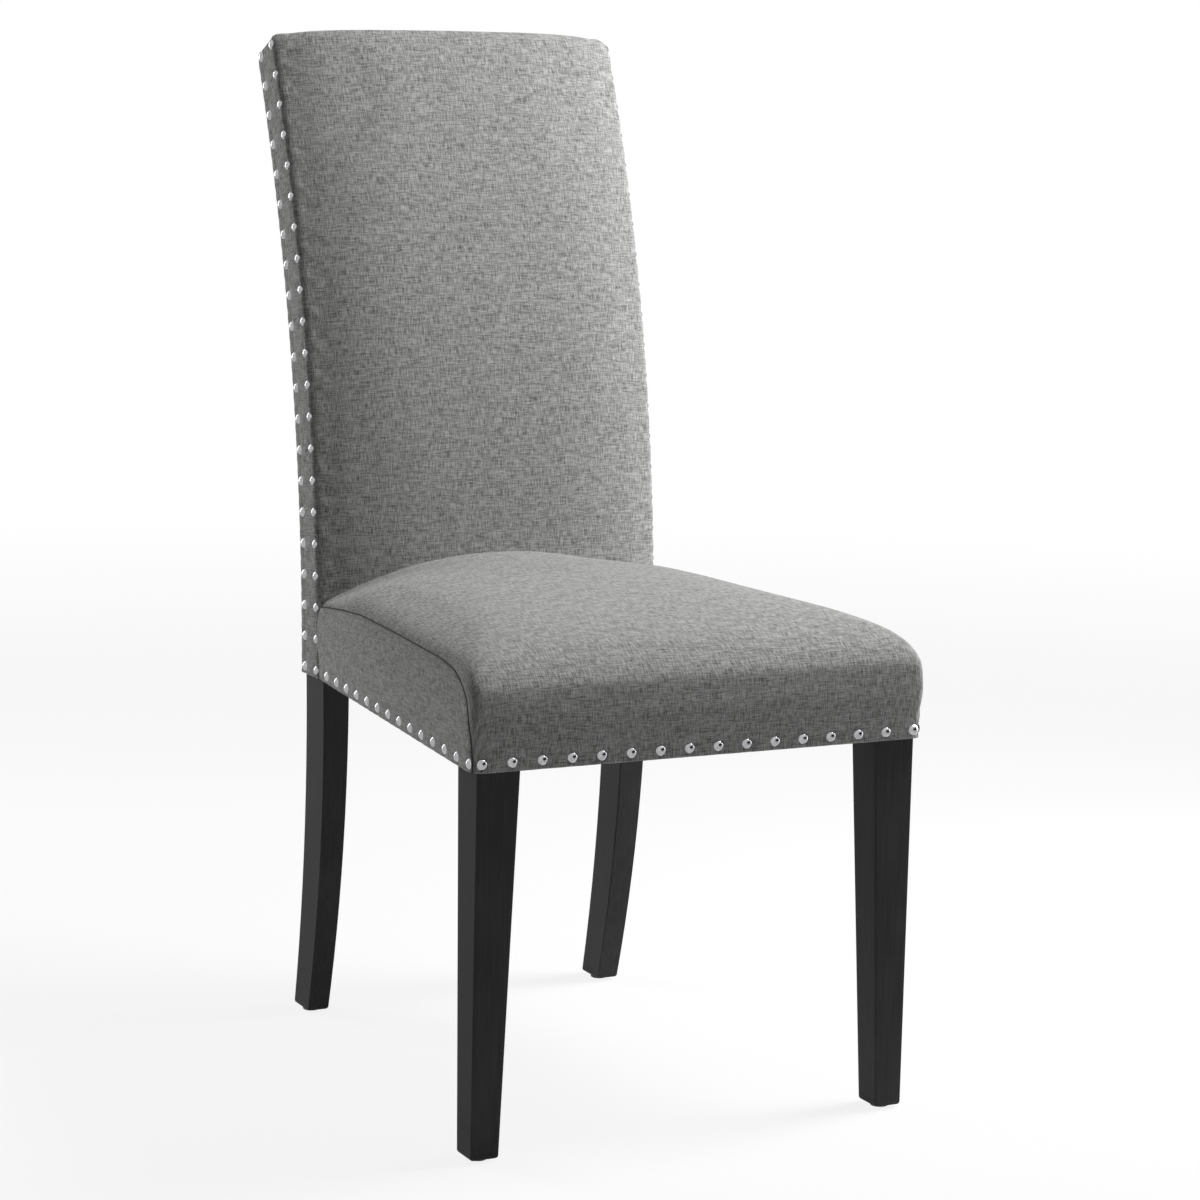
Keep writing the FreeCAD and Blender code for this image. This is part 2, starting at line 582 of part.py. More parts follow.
def make_rear_post(side, sign):
    """One bent post: the saber leg below the hem, the upright of the back above it."""
    name = "rear_post_" + side
    body = new_body(name + "_body")
    foot_front, foot_rear = "post_foot_front", "post_foot_rear"
    profile = outline(body, name + "_profile", "YZ_Plane", (
        (foot_front, "glide_height"), (foot_rear, "glide_height"),
        ("back_y + post_rear_depth", "back_bend_height"), on_arc("post_rear_depth", "post_top_mark"),
        on_arc("post_front_inset", "post_top_mark"), ("post_front_y", "back_bend_height")),
        arcs={1: ("post_rear_radius", -1), 2: ("back_bend_radius - post_rear_depth", -1),
              4: ("back_bend_radius - post_front_inset", 1), 5: ("post_front_radius", 1)},
        offset="post_inner" if sign > 0 else "0 - post_outer")
    upright = pad(body, name + "_pad", profile, "post_width")
    outer, front = size("post_outer"), size("post_front_y")

    def front_edge(edge):
        box = edge.BoundBox
        return (box.ZLength > size("hem_height / 2") and abs(sign * box.Center.x - outer) < fit
                and box.YMin < front + fit)

    def top_edge(edge):
        box = edge.BoundBox
        middle = box.Center
        rear = arc_place(0, size("post_rear_depth"), turn_at(size("post_top_mark")))
        return (box.ZMin > rear.z - fit
                and (abs(sign * middle.x - outer) < fit or abs(middle.y - rear.y) < fit))

    bevel = bevel_edges(body, name + "_bevel", upright, top_edge, "post_top_bevel")
    rounded = round_edges(body, name + "_round", bevel, front_edge, "post_front_round")
    signed = "%d * " % sign
    shoulder = outline(body, name + "_shoulder", "XZ_Plane", (
        (signed + "(post_outer - post_shoulder)", "hem_height"),
        (signed + "(post_outer - post_shoulder - post_foot_taper)", "0 - cut_overrun"),
        (signed + "(post_outer + cut_overrun)", "0 - cut_overrun"),
        (signed + "(post_outer + cut_overrun)", "hem_height")))
    cut = body.newObject("PartDesign::Pocket", name + "_pocket")
    cut.Profile = shoulder
    cut.Type = "ThroughAll"
    doc.recompute()
    removed = rounded.Shape.Volume - cut.Shape.Volume
    if removed < size("post_shoulder * hem_height * post_foot_depth") / 2:
        raise ValueError("the shoulder pocket of " + name + " cuts nothing")

    def leg_edge(edge):
        box = edge.BoundBox
        return (box.ZMin < size("glide_height") + fit and box.ZLength > size("hem_height / 2")
                and (abs(sign * box.Center.x - size("post_inner")) < fit
                     or box.YMax > size("post_foot_rear") - fit))

    def rear_edge(edge):
        box = edge.BoundBox
        return (box.ZMin > size("hem_height") - fit and box.ZLength > size("hem_height / 2")
                and abs(sign * box.Center.x - outer) < fit and box.YMin > front + size("post_front_round"))

    eased = bevel_edges(body, name + "_arrises", cut, leg_edge, "post_arris")
    bevel_edges(body, name + "_rear_bevel", eased, rear_edge, "post_rear_bevel")
    holes = seat_dowel_holes + back_dowel_holes + bolt_holes + both(back_nail_holes)
    return pierced(name, body, holes + [glide_pins[("rear", side)]])


def make_front_rail():
    body = new_body("front_rail_body")
    plan = outline(body, "front_rail_plan", "XY_Plane", (
        ("0 - leg_inner", "frame_front_y"), ("leg_inner", "frame_front_y"),
        ("leg_inner", "rail_back_y"), ("0 - leg_inner", "rail_back_y")), offset="rail_base")
    pad(body, "front_rail_pad", plan, "rail_height")
    return pierced("front_rail", body, seat_dowel_holes + front_nail_holes + block_screw_holes
                   + board_screw_holes)


def make_rear_rail():
    body = new_body("rear_rail_body")
    plan = outline(body, "rear_rail_plan", "XY_Plane", (
        ("0 - post_inner", "post_front_y"), ("post_inner", "post_front_y"),
        ("post_inner", "rear_rail_back_y"), ("0 - post_inner", "rear_rail_back_y")),
        offset="rail_base")
    pad(body, "rear_rail_pad", plan, "rail_height")
    return pierced("rear_rail", body, seat_dowel_holes)


def make_side_rail(side, sign):
    name = "side_rail_" + side
    signed = "%d * " % sign
    body = new_body(name + "_body")
    plan = outline(body, name + "_plan", "XY_Plane", (
        (signed + frame_x("leg_rear_y"), "leg_rear_y"),
        (signed + frame_x("post_front_y"), "post_front_y"),
        (signed + "(" + frame_x("post_front_y") + " - rail_thickness)", "post_front_y"),
        (signed + "(" + frame_x("leg_rear_y") + " - rail_thickness)", "leg_rear_y")),
        offset="rail_base")
    pad(body, name + "_pad", plan, "rail_height")
    return pierced(name, body, seat_dowel_holes + both(side_nail_holes) + bolt_holes
                   + block_screw_holes + board_screw_holes)


def make_corner_block(place, side, sign, corners):
    name = "%s_corner_block_%s" % (place, side)
    body = new_body(name + "_body")
    plan = outline(body, name + "_plan", "XY_Plane",
                   [("%d * (%s)" % (sign, across), along) for across, along in corners],
                   offset="block_base")
    pad(body, name + "_pad", plan, "block_height")
    return pierced(name, body, block_screw_holes + leg_bolt_holes)


def make_seat_board():
    """The plywood seat: it lies on the rails, and its tongue reaches the rear rail."""
    front = "(frame_front_y + board_edge_inset)"
    rear, tongue = "(post_front_y - soft_clearance)", "(post_inner - soft_clearance)"
    edge = "(%s - board_edge_inset)"
    half = [(edge % frame_x(front), front), (edge % frame_x(rear), rear), (tongue, rear),
            (tongue, "rear_rail_back_y")]
    body = new_body("seat_board_body")
    plan = outline(body, "seat_board_plan", "XY_Plane",
                   half + [("0 - " + across, along) for across, along in reversed(half)],
                   offset="rail_top")
    pad(body, "seat_board_pad", plan, "board_thickness")
    return pierced("seat_board", body, board_screw_holes)


def make_dust_cover():
    """The thin cloth under the rails, notched around the four legs."""
    gap = "soft_clearance"
    side_gap = "(%s - " + gap + ")"
    leg_back, leg_side = "(leg_rear_y + %s)" % gap, "(leg_inner - %s)" % gap
    rear, post_side = "(post_front_y - %s)" % gap, "(post_inner - %s)" % gap
    half = [(leg_side, "(frame_front_y + %s)" % gap), (leg_side, leg_back),
            (side_gap % frame_x(leg_back), leg_back), (side_gap % frame_x(rear), rear),
            (post_side, rear), (post_side, "rear_rail_back_y")]
    body = new_body("dust_cover_body")
    plan = outline(body, "dust_cover_plan", "XY_Plane",
                   half + [("0 - " + across, along) for across, along in reversed(half)],
                   offset="rail_base - dust_cover_thickness")
    pad(body, "dust_cover_pad", plan, "dust_cover_thickness")
    return keep(body, "dust_cover")


# Back frame

def make_arc_piece(label, front, rear, low, high, holes):
    """A piece of the back frame that follows the bend from post to post."""
    body = new_body(label + "_body")
    profile = outline(body, label + "_profile", "YZ_Plane", (
        on_arc(front, low), on_arc(rear, low), on_arc(rear, high), on_arc(front, high)),
        arcs={1: ("back_bend_radius - " + rear, -1), 3: ("back_bend_radius - " + front, 1)},
        offset="0 - post_inner")
    pad(body, label + "_pad", profile, "2 * post_inner")
    if holes:
        return pierced(label, body, holes)
    return keep(body, label)


# Feet

glide_pins = {}
glide_places = []
for side, sign in SIDES:
    front_x = sign * size("leg_outer - leg_foot_width / 2")
    front_place = V(front_x, size("leg_front_y + leg_foot_depth / 2"), 0)
    rear_x = sign * size("(post_inner + post_outer - post_shoulder - post_foot_taper) / 2")
    rear_place = V(rear_x, size("(post_foot_front + post_foot_rear) / 2"), 0)
    for row, place in (("front", front_place), ("rear", rear_place)):
        glide_places.append(place)
        glide_pins[(row, side)] = cylinder(place, V(0, 0, 1), size("glide_pin_radius") + fit,
                                           size("glide_height + glide_pin_length") + fit)


def glide(place):
    """A nail-on glide: a disc under the foot with its pin."""
    disc = cylinder(place, V(0, 0, 1), size("glide_radius"), size("glide_height"))
    rim = disc.makeFillet(size("glide_height / 3"), [edge for edge in disc.Edges
                                                     if edge.BoundBox.ZMax < size("glide_height / 2")])
    pin = cylinder(place, V(0, 0, 1), size("glide_pin_radius"), size("glide_height + glide_pin_length"))
    return rim.fuse(pin).removeSplitter()


for side, sign in SIDES:
    make_front_leg(side, sign)
    make_rear_post(side, sign)
    make_side_rail(side, sign)
    make_corner_block("front", side, sign, block_front_corner)
    make_corner_block("rear", side, sign, block_rear_corner)
make_front_rail()
make_rear_rail()
make_seat_board()
make_dust_cover()
for label, mark in (("lower_back_rail", "lower_back_rail_mark"), ("middle_back_rail", "middle_back_rail_mark"),
                    ("top_back_rail", "top_back_rail_mark")):
    make_arc_piece(label, "back_rail_front", "back_rail_rear", mark, mark + " + back_rail_height",
                   back_dowel_holes)
make_arc_piece("back_panel", "post_front_inset", "(back_rail_front - fit_clearance)", "panel_mark",
               "frame_top_mark", None)
own_shape("floor_glides", Part.Compound([glide(place) for place in glide_places]))

# Fasteners
own_shape("seat_dowels", Part.Compound(both([dowel(place, way) for place, way in seat_dowels])))
own_shape("back_dowels", Part.Compound(both([dowel(place, way) for place, way in back_dowels])))
own_shape("rail_bolts", Part.Compound(both([bolt(place, way) for place, way in rail_bolts])))
own_shape("block_screws", Part.Compound(both([screw(place, way, "block_screw_length")
                                              for place, way in block_screws])))
own_shape("board_screws", Part.Compound(both([screw(place, way, "board_screw_length")
                                              for place, way in board_screw_places])))
leg_bolt = cylinder(leg_bolt_start, bolt_way, size("bolt_radius"),
                    size("leg_bolt_length") + size("washer_thickness + nut_height + bolt_radius"))
washer_ring = cylinder(bolt_seat, -bolt_way, size("washer_radius"), size("washer_thickness"))
washer_ring = washer_ring.cut(leg_bolt_hole)
nut_face = Part.Face(Part.makePolygon([
    V(size("nut_radius") * math.cos(math.pi / 3 * corner), size("nut_radius") * math.sin(math.pi / 3 * corner), 0)
    for corner in range(7)]))
nut = nut_face.extrude(V(0, 0, size("nut_height")))
nut.Placement = FreeCAD.Placement(bolt_seat - bolt_way * size("washer_thickness"),
                                  FreeCAD.Rotation(V(0, 0, 1), -bolt_way))
nut = nut.cut(leg_bolt_hole)
own_shape("leg_bolts", Part.Compound(both([leg_bolt])))
own_shape("leg_bolt_washers", Part.Compound(both([washer_ring])))
own_shape("leg_bolt_nuts", Part.Compound(both([nut])))

# Seat upholstery
cover = size("cover_thickness")
lining = size("rail_inset")
overrun = size("cut_overrun")
far = size("back_top_mark")
back_space = back_form(-size("soft_clearance"), overrun)


def level(low, high):
    """Everything between two heights."""
    return Part.makeBox(2 * far, 2 * far, high - low, V(-far, -far, low))


seat_shell = seat_form(0).cut(seat_form(cover, overrun)).cut(back_space)
strip_front = size("front_y + seam_inset")
strip_rear = size("back_y + seat_rear_lap") + overrun


def strip_edge(along, gap):
    return size("seat_hem_width / 2") - (along - size("front_y")) * slope - gap


strip = Part.Face(Part.makePolygon([
    V(strip_edge(strip_front, size("seam_strip")), strip_front, size("hem_height") - overrun),
    V(strip_edge(strip_front, -overrun), strip_front, size("hem_height") - overrun),
    V(strip_edge(strip_rear, -overrun), strip_rear, size("hem_height") - overrun),
    V(strip_edge(strip_rear, size("seam_strip")), strip_rear, size("hem_height") - overrun),
    V(strip_edge(strip_front, size("seam_strip")), strip_front, size("hem_height") - overrun)]))
strip = strip.extrude(V(0, 0, size("seat_side_height") + overrun))
seat_nail_holes = Part.Compound(front_nail_holes + both(side_nail_holes))
top_cover = seat_shell.cut(Part.Compound(both([strip]))).cut(seat_nail_holes)
own_shape("seat_cover_top", top_cover)
side_panel = seat_shell.common(strip).cut(Part.Compound(side_nail_holes))
own_shape("seat_cover_side_right", side_panel)
own_shape("seat_cover_side_left", mirrored([side_panel])[0])
foam = seat_form(lining).common(level(size("rail_top"), far)).cut(back_space)
foam = foam.cut(seat_prism(lining + size("board_edge_inset - soft_clearance"), size("rail_top"),
                           size("board_top"), size("soft_clearance")))
own_shape("seat_foam", foam)
wadding = seat_form(lining).common(level(size("hem_height + pad_start_gap"), size("rail_top")))
core = seat_prism(cover, size("hem_height"), size("crown_height"), size("seat_corner_round") - cover)
own_shape("seat_wadding", wadding.cut(core).cut(back_space))

# Back upholstery
wide = size("back_width")
thick = size("back_thickness")
back_shell = back_form(0).cut(back_form(cover, overrun))
hem_mark, top_mark = size("hem_height") - overrun, size("back_top_mark") + overrun
round_mark = size("back_top_mark - back_top_round")
nail_front, nail_rear = size("back_nail_front"), size("back_nail_rear")
rail_space = Part.makeBox(wide - 2 * cover, 2 * thick, size("board_top") - hem_mark,
                          V(cover - wide / 2, size("back_y") - thick, hem_mark))
front_zone = arc_slab(hem_mark, top_mark, -thick, nail_front, -wide, wide)
cap_zone = arc_slab(round_mark, top_mark, nail_front, nail_rear, -wide, wide)
side_zone = arc_slab(hem_mark, round_mark, nail_front, nail_rear, 0, wide)
rear_zone = arc_slab(hem_mark, top_mark, nail_rear, 2 * thick, -wide, wide)
column_holes = Part.Compound(both(back_nail_holes))
front_cover = back_shell.common(front_zone).cut(rail_space).fuse(back_shell.common(cap_zone))
own_shape("back_cover_front", front_cover.removeSplitter().cut(column_holes))
side_strip = back_shell.common(side_zone).cut(Part.Compound(back_nail_holes))
own_shape("back_side_strip_right", side_strip)
own_shape("back_side_strip_left", mirrored([side_strip])[0])
own_shape("back_cover_rear", back_shell.common(rear_zone).cut(column_holes))
back_foam = back_form(lining).cut(level(0, size("panel_mark")))
foam_front, foam_gap = size("post_front_inset - soft_clearance"), size("soft_clearance")
back_foam = back_foam.cut(arc_slab(hem_mark, size("frame_top_mark") + foam_gap, foam_front, 2 * thick,
                                   -wide, wide))
for left, right in ((-wide, -size("post_inner") + foam_gap), (size("post_inner") - foam_gap, wide)):
    back_foam = back_foam.cut(arc_slab(size("frame_top_mark"), size("post_top_mark") + foam_gap,
                                       foam_front, 2 * thick, left, right))
own_shape("back_foam", back_foam)
liner_front = size("post_rear_depth") + fit
liner_half = size("post_outer - back_rear_round")
own_shape("back_liner", arc_slab(size("rail_base"), size("frame_top_mark"), liner_front,
                                 liner_front + size("liner_thickness"), -liner_half, liner_half))

# Nail trim
own_shape("seat_front_nails", Part.Compound([nail(place, way) for place, way in front_nails]))
right_side_nails = [nail(place, way) for place, way in side_nails]
own_shape("seat_side_nails_right", Part.Compound(right_side_nails))
own_shape("seat_side_nails_left", Part.Compound(mirrored(right_side_nails)))
for column in ("front", "rear"):
    right_nails = [nail(place, way) for place, way in back_nails[column]]
    own_shape("back_%s_nails_right" % column, Part.Compound(right_nails))
    own_shape("back_%s_nails_left" % column, Part.Compound(mirrored(right_nails)))

doc.recompute()
for item in doc.Objects:
    if "Invalid" in item.State or "Error" in item.State:
        raise ValueError("%s failed: %s" % (item.Label, item.State))
os.makedirs("parts", exist_ok=True)
for item in nodes:
    shape = item.Shape
    if shape.isNull() or not shape.isValid() or not shape.Solids:
        raise ValueError("%s has no valid solid" % item.Label)
    shape.exportStep("parts/%s.step" % item.Label)
box = Part.Compound([item.Shape for item in nodes]).BoundBox
print("%d sub-parts, box %.2f %.2f %.2f to %.2f %.2f %.2f" % (
    len(nodes), box.XMin, box.YMin, box.ZMin, box.XMax, box.YMax, box.ZMax))
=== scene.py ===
"""Upholstered side chair: stuffed covers, finishes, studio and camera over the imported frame, in metres.

X runs across the chair, Y from its front to its rear and Z up from the floor.
"""
import json
import math

import bmesh
import bpy
import numpy as np
from mathutils import Matrix, Vector
from mathutils.kdtree import KDTree


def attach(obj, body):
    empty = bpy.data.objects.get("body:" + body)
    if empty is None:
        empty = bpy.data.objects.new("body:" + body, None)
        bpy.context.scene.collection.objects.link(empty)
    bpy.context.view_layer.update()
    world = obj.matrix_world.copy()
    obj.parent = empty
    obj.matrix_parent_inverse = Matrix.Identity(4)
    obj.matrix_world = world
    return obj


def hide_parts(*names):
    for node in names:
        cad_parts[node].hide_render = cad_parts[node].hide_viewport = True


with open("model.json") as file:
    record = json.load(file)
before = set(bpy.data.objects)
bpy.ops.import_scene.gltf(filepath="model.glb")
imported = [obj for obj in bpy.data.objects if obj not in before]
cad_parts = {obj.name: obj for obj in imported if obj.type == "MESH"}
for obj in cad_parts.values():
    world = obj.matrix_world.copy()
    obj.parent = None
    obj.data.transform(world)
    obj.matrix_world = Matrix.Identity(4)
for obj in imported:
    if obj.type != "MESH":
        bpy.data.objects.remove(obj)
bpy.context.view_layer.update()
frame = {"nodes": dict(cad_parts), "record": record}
nodes = frame["nodes"]

# Sizes of the seat, the same as in the part's source but for its corners, which are tighter here.
HEM = 0.366
FRONT = -0.3274
SEAT_DEPTH = 0.470
REAR_LAP = 0.0032
SEAT_END = SEAT_DEPTH + REAR_LAP
BACK_Y = FRONT + SEAT_DEPTH
SEAT_HALF = 0.235
BACK_HALF = 0.191
SIDE_SLOPE = (SEAT_HALF - BACK_HALF) / SEAT_DEPTH
SEAM = 0.455
CROWN_TOP = 0.488
BULGE = 0.003
SIDE_ROLL = 0.150
FRONT_ROLL = 0.220
CORNER = 0.0055

# Sizes of the back, the same as in the part's source but for its crown, which is 2 mm fuller here.
BEND_HEIGHT = 0.345
BEND_RADIUS = 1.630
BACK_TOP = 1.017
BACK_THICK = 0.053
BACK_CROWN = 0.015
BACK_ROUND_FRONT = 0.009
BACK_ROUND_REAR = 0.005
BACK_TOP_ROUND = 0.015
NAIL_FRONT_DEPTH = 0.009

# Cloth: the cover's thickness, the size of the squares that its mesh starts with, and how close
# two corners of them are when they are merged.
COVER = 0.0012
CELL = 0.0065
MERGE = 0.00002


# Curves and lines

def smooth_curve(xs, ys, x):
    """A curve through points that never overshoots them (monotone cubic)."""
    xs, ys, x = np.asarray(xs, float), np.asarray(ys, float), np.asarray(x, float)
    step, rise = np.diff(xs), np.diff(ys) / np.diff(xs)
    slope = np.empty(len(xs))
    slope[0], slope[-1] = rise[0], rise[-1]
    for i in range(1, len(xs) - 1):
        same = rise[i - 1] * rise[i] > 0
        slope[i] = 2 * rise[i - 1] * rise[i] / (rise[i - 1] + rise[i]) if same else 0.0
    k = np.clip(np.searchsorted(xs, x) - 1, 0, len(xs) - 2)
    t = np.clip((x - xs[k]) / step[k], 0, 1)
    return ((2 * t**3 - 3 * t**2 + 1) * ys[k] + (t**3 - 2 * t**2 + t) * step[k] * slope[k]
            + (3 * t**2 - 2 * t**3) * ys[k + 1] + (t**3 - t**2) * step[k] * slope[k + 1])


def blend_in(low, high, x):
    """0 up to low, 1 from high, and smooth between them."""
    t = np.clip((np.asarray(x, float) - low) / (high - low), 0, 1)
    return t * t * (3 - 2 * t)


def quarter_turn(steps):
    """Angles up to a right angle in even steps, without the first one of zero."""
    return np.linspace(0, math.pi / 2, steps + 1)[1:]


def closer_at_edges(shares, amount):
    """Shares from the middle to the edges, moved a little towards the edges, where cloth turns."""
    return (1 - amount) * shares + amount * np.sin(shares * math.pi / 2)


def run_along(points):
    """The length of a polyline up to each of its points."""
    return np.concatenate([[0], np.cumsum(np.linalg.norm(np.diff(points, axis=0), axis=1))])


def along(points, shares):
    """Points at shares of a polyline's length."""
    run = run_along(points)
    return np.stack([np.interp(np.asarray(shares) * run[-1], run, column) for column in points.T], 1)


def fill_between(near, far, start, end):
    """A grid of points within four edges: its rows run from near to far, its columns from start to end."""
    u = np.linspace(0, 1, len(near))[None, :, None]
    v = np.linspace(0, 1, len(start))[:, None, None]
    return ((1 - v) * near[None] + v * far[None] + (1 - u) * start[:, None] + u * end[:, None]
            - (1 - u) * (1 - v) * near[0] - u * (1 - v) * near[-1]
            - (1 - u) * v * far[0] - u * v * far[-1])


# Seat form: a rounded trapezoid in plan, drawn in as it rises from the hem (0) to the seam (1)
# and on to its crown (2). Each row is a height and how far the cover is drawn in there, as a share
# of BULGE (below the seam, for the sides and then for the front) or of the roll (above it).
BELOW_SEAM = ((0, 0.0, 0.0), (0.18, 0.0, 0.0), (0.5, -1.0, -1.0), (0.82, -0.8, -0.1))
SIDE_RISE = ((1, 0.01), (1.3, 0.07), (1.58, 0.2), (1.8, 0.4), (1.95, 0.72), (2, 1.0), (2.06, 1.6))
REAR_RISE = ((1, 0.01), (1.12, 0.06), (1.29, 0.17), (1.5, 0.33), (1.7, 0.52), (1.86, 0.71),
             (1.965, 0.93), (2, 1.12), (2.06, 1.6))
FRONT_RISE = ((1, 0.06), (1.3, 0.14), (1.58, 0.29), (1.8, 0.5), (1.95, 0.78), (2, 1.0), (2.06, 1.6))
TOP_SHARE = 2.055
REAR_TURN = 0.36
REAR_DROP = 0.0135
SOFT_RIDGE = 0.02
CORNER_WIDENING = 0.12

# The seam from the rear to the front corner and down to the hem, as depths behind the front and heights.
SEAM_LINE = ((SEAT_END, 0.441), (0.446, 0.4445), (0.400, 0.4498), (0.340, 0.4545), (0.220, 0.4555),
             (0.100, 0.455), (0.060, 0.452), (0.038, 0.446), (0.025, 0.4395), (0.016, 0.431),
             (0.0095, 0.418), (0.006, 0.402), (0.0045, 0.385), (0.004, HEM))
CORNER_ROW = 9

# Rays that trace the form: where they start inside it, how they are followed, and how they are spread.
HUB_Y = -0.24
HUB_Z = 0.40
INNER = 0.78
SIDE_START = 0.10
RAY_LENGTH = 0.4
RAY_STEP = 0.004
HALVINGS = 16
FLAT_RAYS = 60
TURN_RAYS = 39
FALL_RAYS = 11
SEAT_CROWDING = 0.4
START_POWER = 1.5
EDGE_POWER = 5


def rise_table(rise, column, roll):
    low = [(row[0], row[column] * BULGE) for row in BELOW_SEAM]
    return np.array(low + [(share, inset * roll) for share, inset in rise])


SIDE_TABLE = rise_table(SIDE_RISE, 1, SIDE_ROLL)
REAR_TABLE = rise_table(REAR_RISE, 1, SIDE_ROLL)
FRONT_TABLE = rise_table(FRONT_RISE, 2, FRONT_ROLL)


def outside_seat(points):
    """Above zero outside the seat's form and below zero inside it, in metres."""
    depth, high = points[:, 1] - FRONT, points[:, 2] - HEM
    rear = blend_in(REAR_TURN, SEAT_END, depth)

    def share(seam):
        return np.where(high <= seam, high / seam, 1 + (high - seam) / (CROWN_TOP - HEM - seam))

    side_share, front_share = share(SEAM - HEM - REAR_DROP * rear), share(SEAM - HEM)
    side = ((1 - rear) * smooth_curve(SIDE_TABLE[:, 0], SIDE_TABLE[:, 1], side_share)
            + rear * smooth_curve(REAR_TABLE[:, 0], REAR_TABLE[:, 1], side_share))
    front = smooth_curve(FRONT_TABLE[:, 0], FRONT_TABLE[:, 1], front_share)
    corner = CORNER + CORNER_WIDENING * (np.maximum(side, 0) + np.maximum(front, 0))
    across = np.hypot(points[:, 0], SOFT_RIDGE) - SOFT_RIDGE**2 / (2 * BACK_HALF)
    over_x = across - (SEAT_HALF - depth * SIDE_SLOPE - side) + corner
    over_y = front - depth + corner
    gap = (np.minimum(np.maximum(over_x, over_y), 0)
           + np.hypot(np.maximum(over_x, 0), np.maximum(over_y, 0)) - corner)
    return np.where(side_share > TOP_SHARE, 1.0, gap)


def reach(starts, ways):
    """Where rays from inside the seat's form leave it."""
    ways = ways / np.linalg.norm(ways, axis=1)[:, None]
    low = np.zeros(len(starts))
    going = np.ones(len(starts), bool)
    for _ in range(int(RAY_LENGTH / RAY_STEP)):
        out = outside_seat(starts + ways * (low + RAY_STEP)[:, None]) >= 0
        going &= ~out
        low = np.where(going, low + RAY_STEP, low)
    high = low + RAY_STEP
    for _ in range(HALVINGS):
        middle = (low + high) / 2
        out = outside_seat(starts + ways * middle[:, None]) >= 0
        low, high = np.where(out, low, middle), np.where(out, middle, high)
    return starts + ways * low[:, None]


def side_points(depths, heights, sign):
    """Points of the seat's side at depths behind its front and at heights."""
    starts = np.stack([np.full(len(depths), sign * SIDE_START), FRONT + np.asarray(depths), heights], 1)
    return reach(starts, np.tile([sign, 0.0, 0.0], (len(depths), 1)))


def seat_middle(shares):
    """The cover's middle line, from the rear over the top and down the front, at shares of its length."""
    flat = np.linspace(BACK_Y + REAR_LAP, HUB_Y, FLAT_RAYS)
    turn = quarter_turn(TURN_RAYS)
    fall = np.linspace(HUB_Z, HEM, FALL_RAYS + 1)[1:]
    starts = ([(0, y, HUB_Z) for y in flat] + [(0, HUB_Y, HUB_Z)] * len(turn)
              + [(0, HUB_Y, z) for z in fall])
    ways = ([(0, 0, 1)] * len(flat) + [(0, -math.sin(angle), math.cos(angle)) for angle in turn]
            + [(0, -1, 0)] * len(fall))
    return along(reach(np.array(starts, float), np.array(ways, float)), shares)


def seat_top(left, right):
    """Rows of points across the top and front, from the left seam to the right one."""
    run = run_along(left)
    count = round(2 * SEAT_HALF / CELL) // 2 * 2
    across = closer_at_edges(np.linspace(-1, 1, count + 1), SEAT_CROWDING)
    starts, ways = [], []
    for centre, left_end, right_end in zip(seat_middle(run / run[-1]), left, right):
        base = np.array([0, max(centre[1], HUB_Y), min(centre[2], HUB_Z)])
        upward = (centre - base) / np.linalg.norm(centre - base)
        for u in across:
            edge = right_end if u > 0 else left_end
            inner = np.array([INNER * edge[0], max(left_end[1], HUB_Y), min(left_end[2], HUB_Z)])
            outward = (edge - inner) / np.linalg.norm(edge - inner)
            start = base + (inner - base) * abs(u) ** START_POWER
            start[0] = abs(u) * inner[0]
            starts.append(start)
            ways.append(upward * (1 - abs(u) ** EDGE_POWER) + outward * abs(u) ** EDGE_POWER)
    top = reach(np.array(starts), np.array(ways)).reshape(len(left), len(across), 3)
    top[:, 0], top[:, -1] = left, right
    return top


def seat_side(seam, rows_top, sign, edge):
    """Rows of points from the hem up to the seam, and the flat places that they are cut from."""
    top_edge, front_edge = seam[:rows_top + 1], seam[rows_top:][::-1]
    rows = len(front_edge)
    hem_line = np.stack([np.linspace(seam[0, 0], seam[-1, 0], rows_top + 1),
                         np.full(rows_top + 1, HEM)], 1)
    rear_edge = np.stack([np.full(rows, seam[0, 0]), np.linspace(HEM, seam[0, 1], rows)], 1)
    flat = fill_between(hem_line, top_edge, rear_edge, front_edge)
    grid = side_points(flat[..., 0].ravel(), flat[..., 1].ravel(), sign).reshape(*flat.shape[:2], 3)
    grid[-1] = edge[:rows_top + 1]
    grid[:, -1] = edge[rows_top:][::-1]
    return grid, flat


def back_place(across, depth, turn):
    """A place of the back: how far across, how deep behind its front arc and how far up that arc."""
    inward = BEND_RADIUS - depth
    return np.array([across, BACK_Y + BEND_RADIUS - inward * math.cos(turn),
                     BEND_HEIGHT + inward * math.sin(turn)])


def back_turn(mark):
    return math.asin((mark - BEND_HEIGHT) / BEND_RADIUS)


# How the front of the back swells from each side edge towards its middle, as shares of the half
# width and of the crown. The padding rolls out a little past the side, ahead of its nails, and
# SIDE_DEPTHS are the depths of the side's points behind the front.
BACK_SWELL = ((0, 0.0), (0.035, 0.15), (0.08, 0.32), (0.16, 0.53), (0.3, 0.75), (0.55, 0.93), (1, 1.0))
EDGE_ROLL = 0.0022
ROLL_LAG = math.pi / 6
BACK_CROWDING = 0.25
SIDE_DEPTHS = (0.0152, 0.0214, 0.0276, 0.0338, 0.040, 0.044, 0.048)
HALF_CELLS = 23
FRONT_ROUND_STEPS = 6
REAR_ROUND_STEPS = 3
TOP_ROUND_STEPS = 6
STRIP_CELLS = 5
CAP_RISE = 0.0012


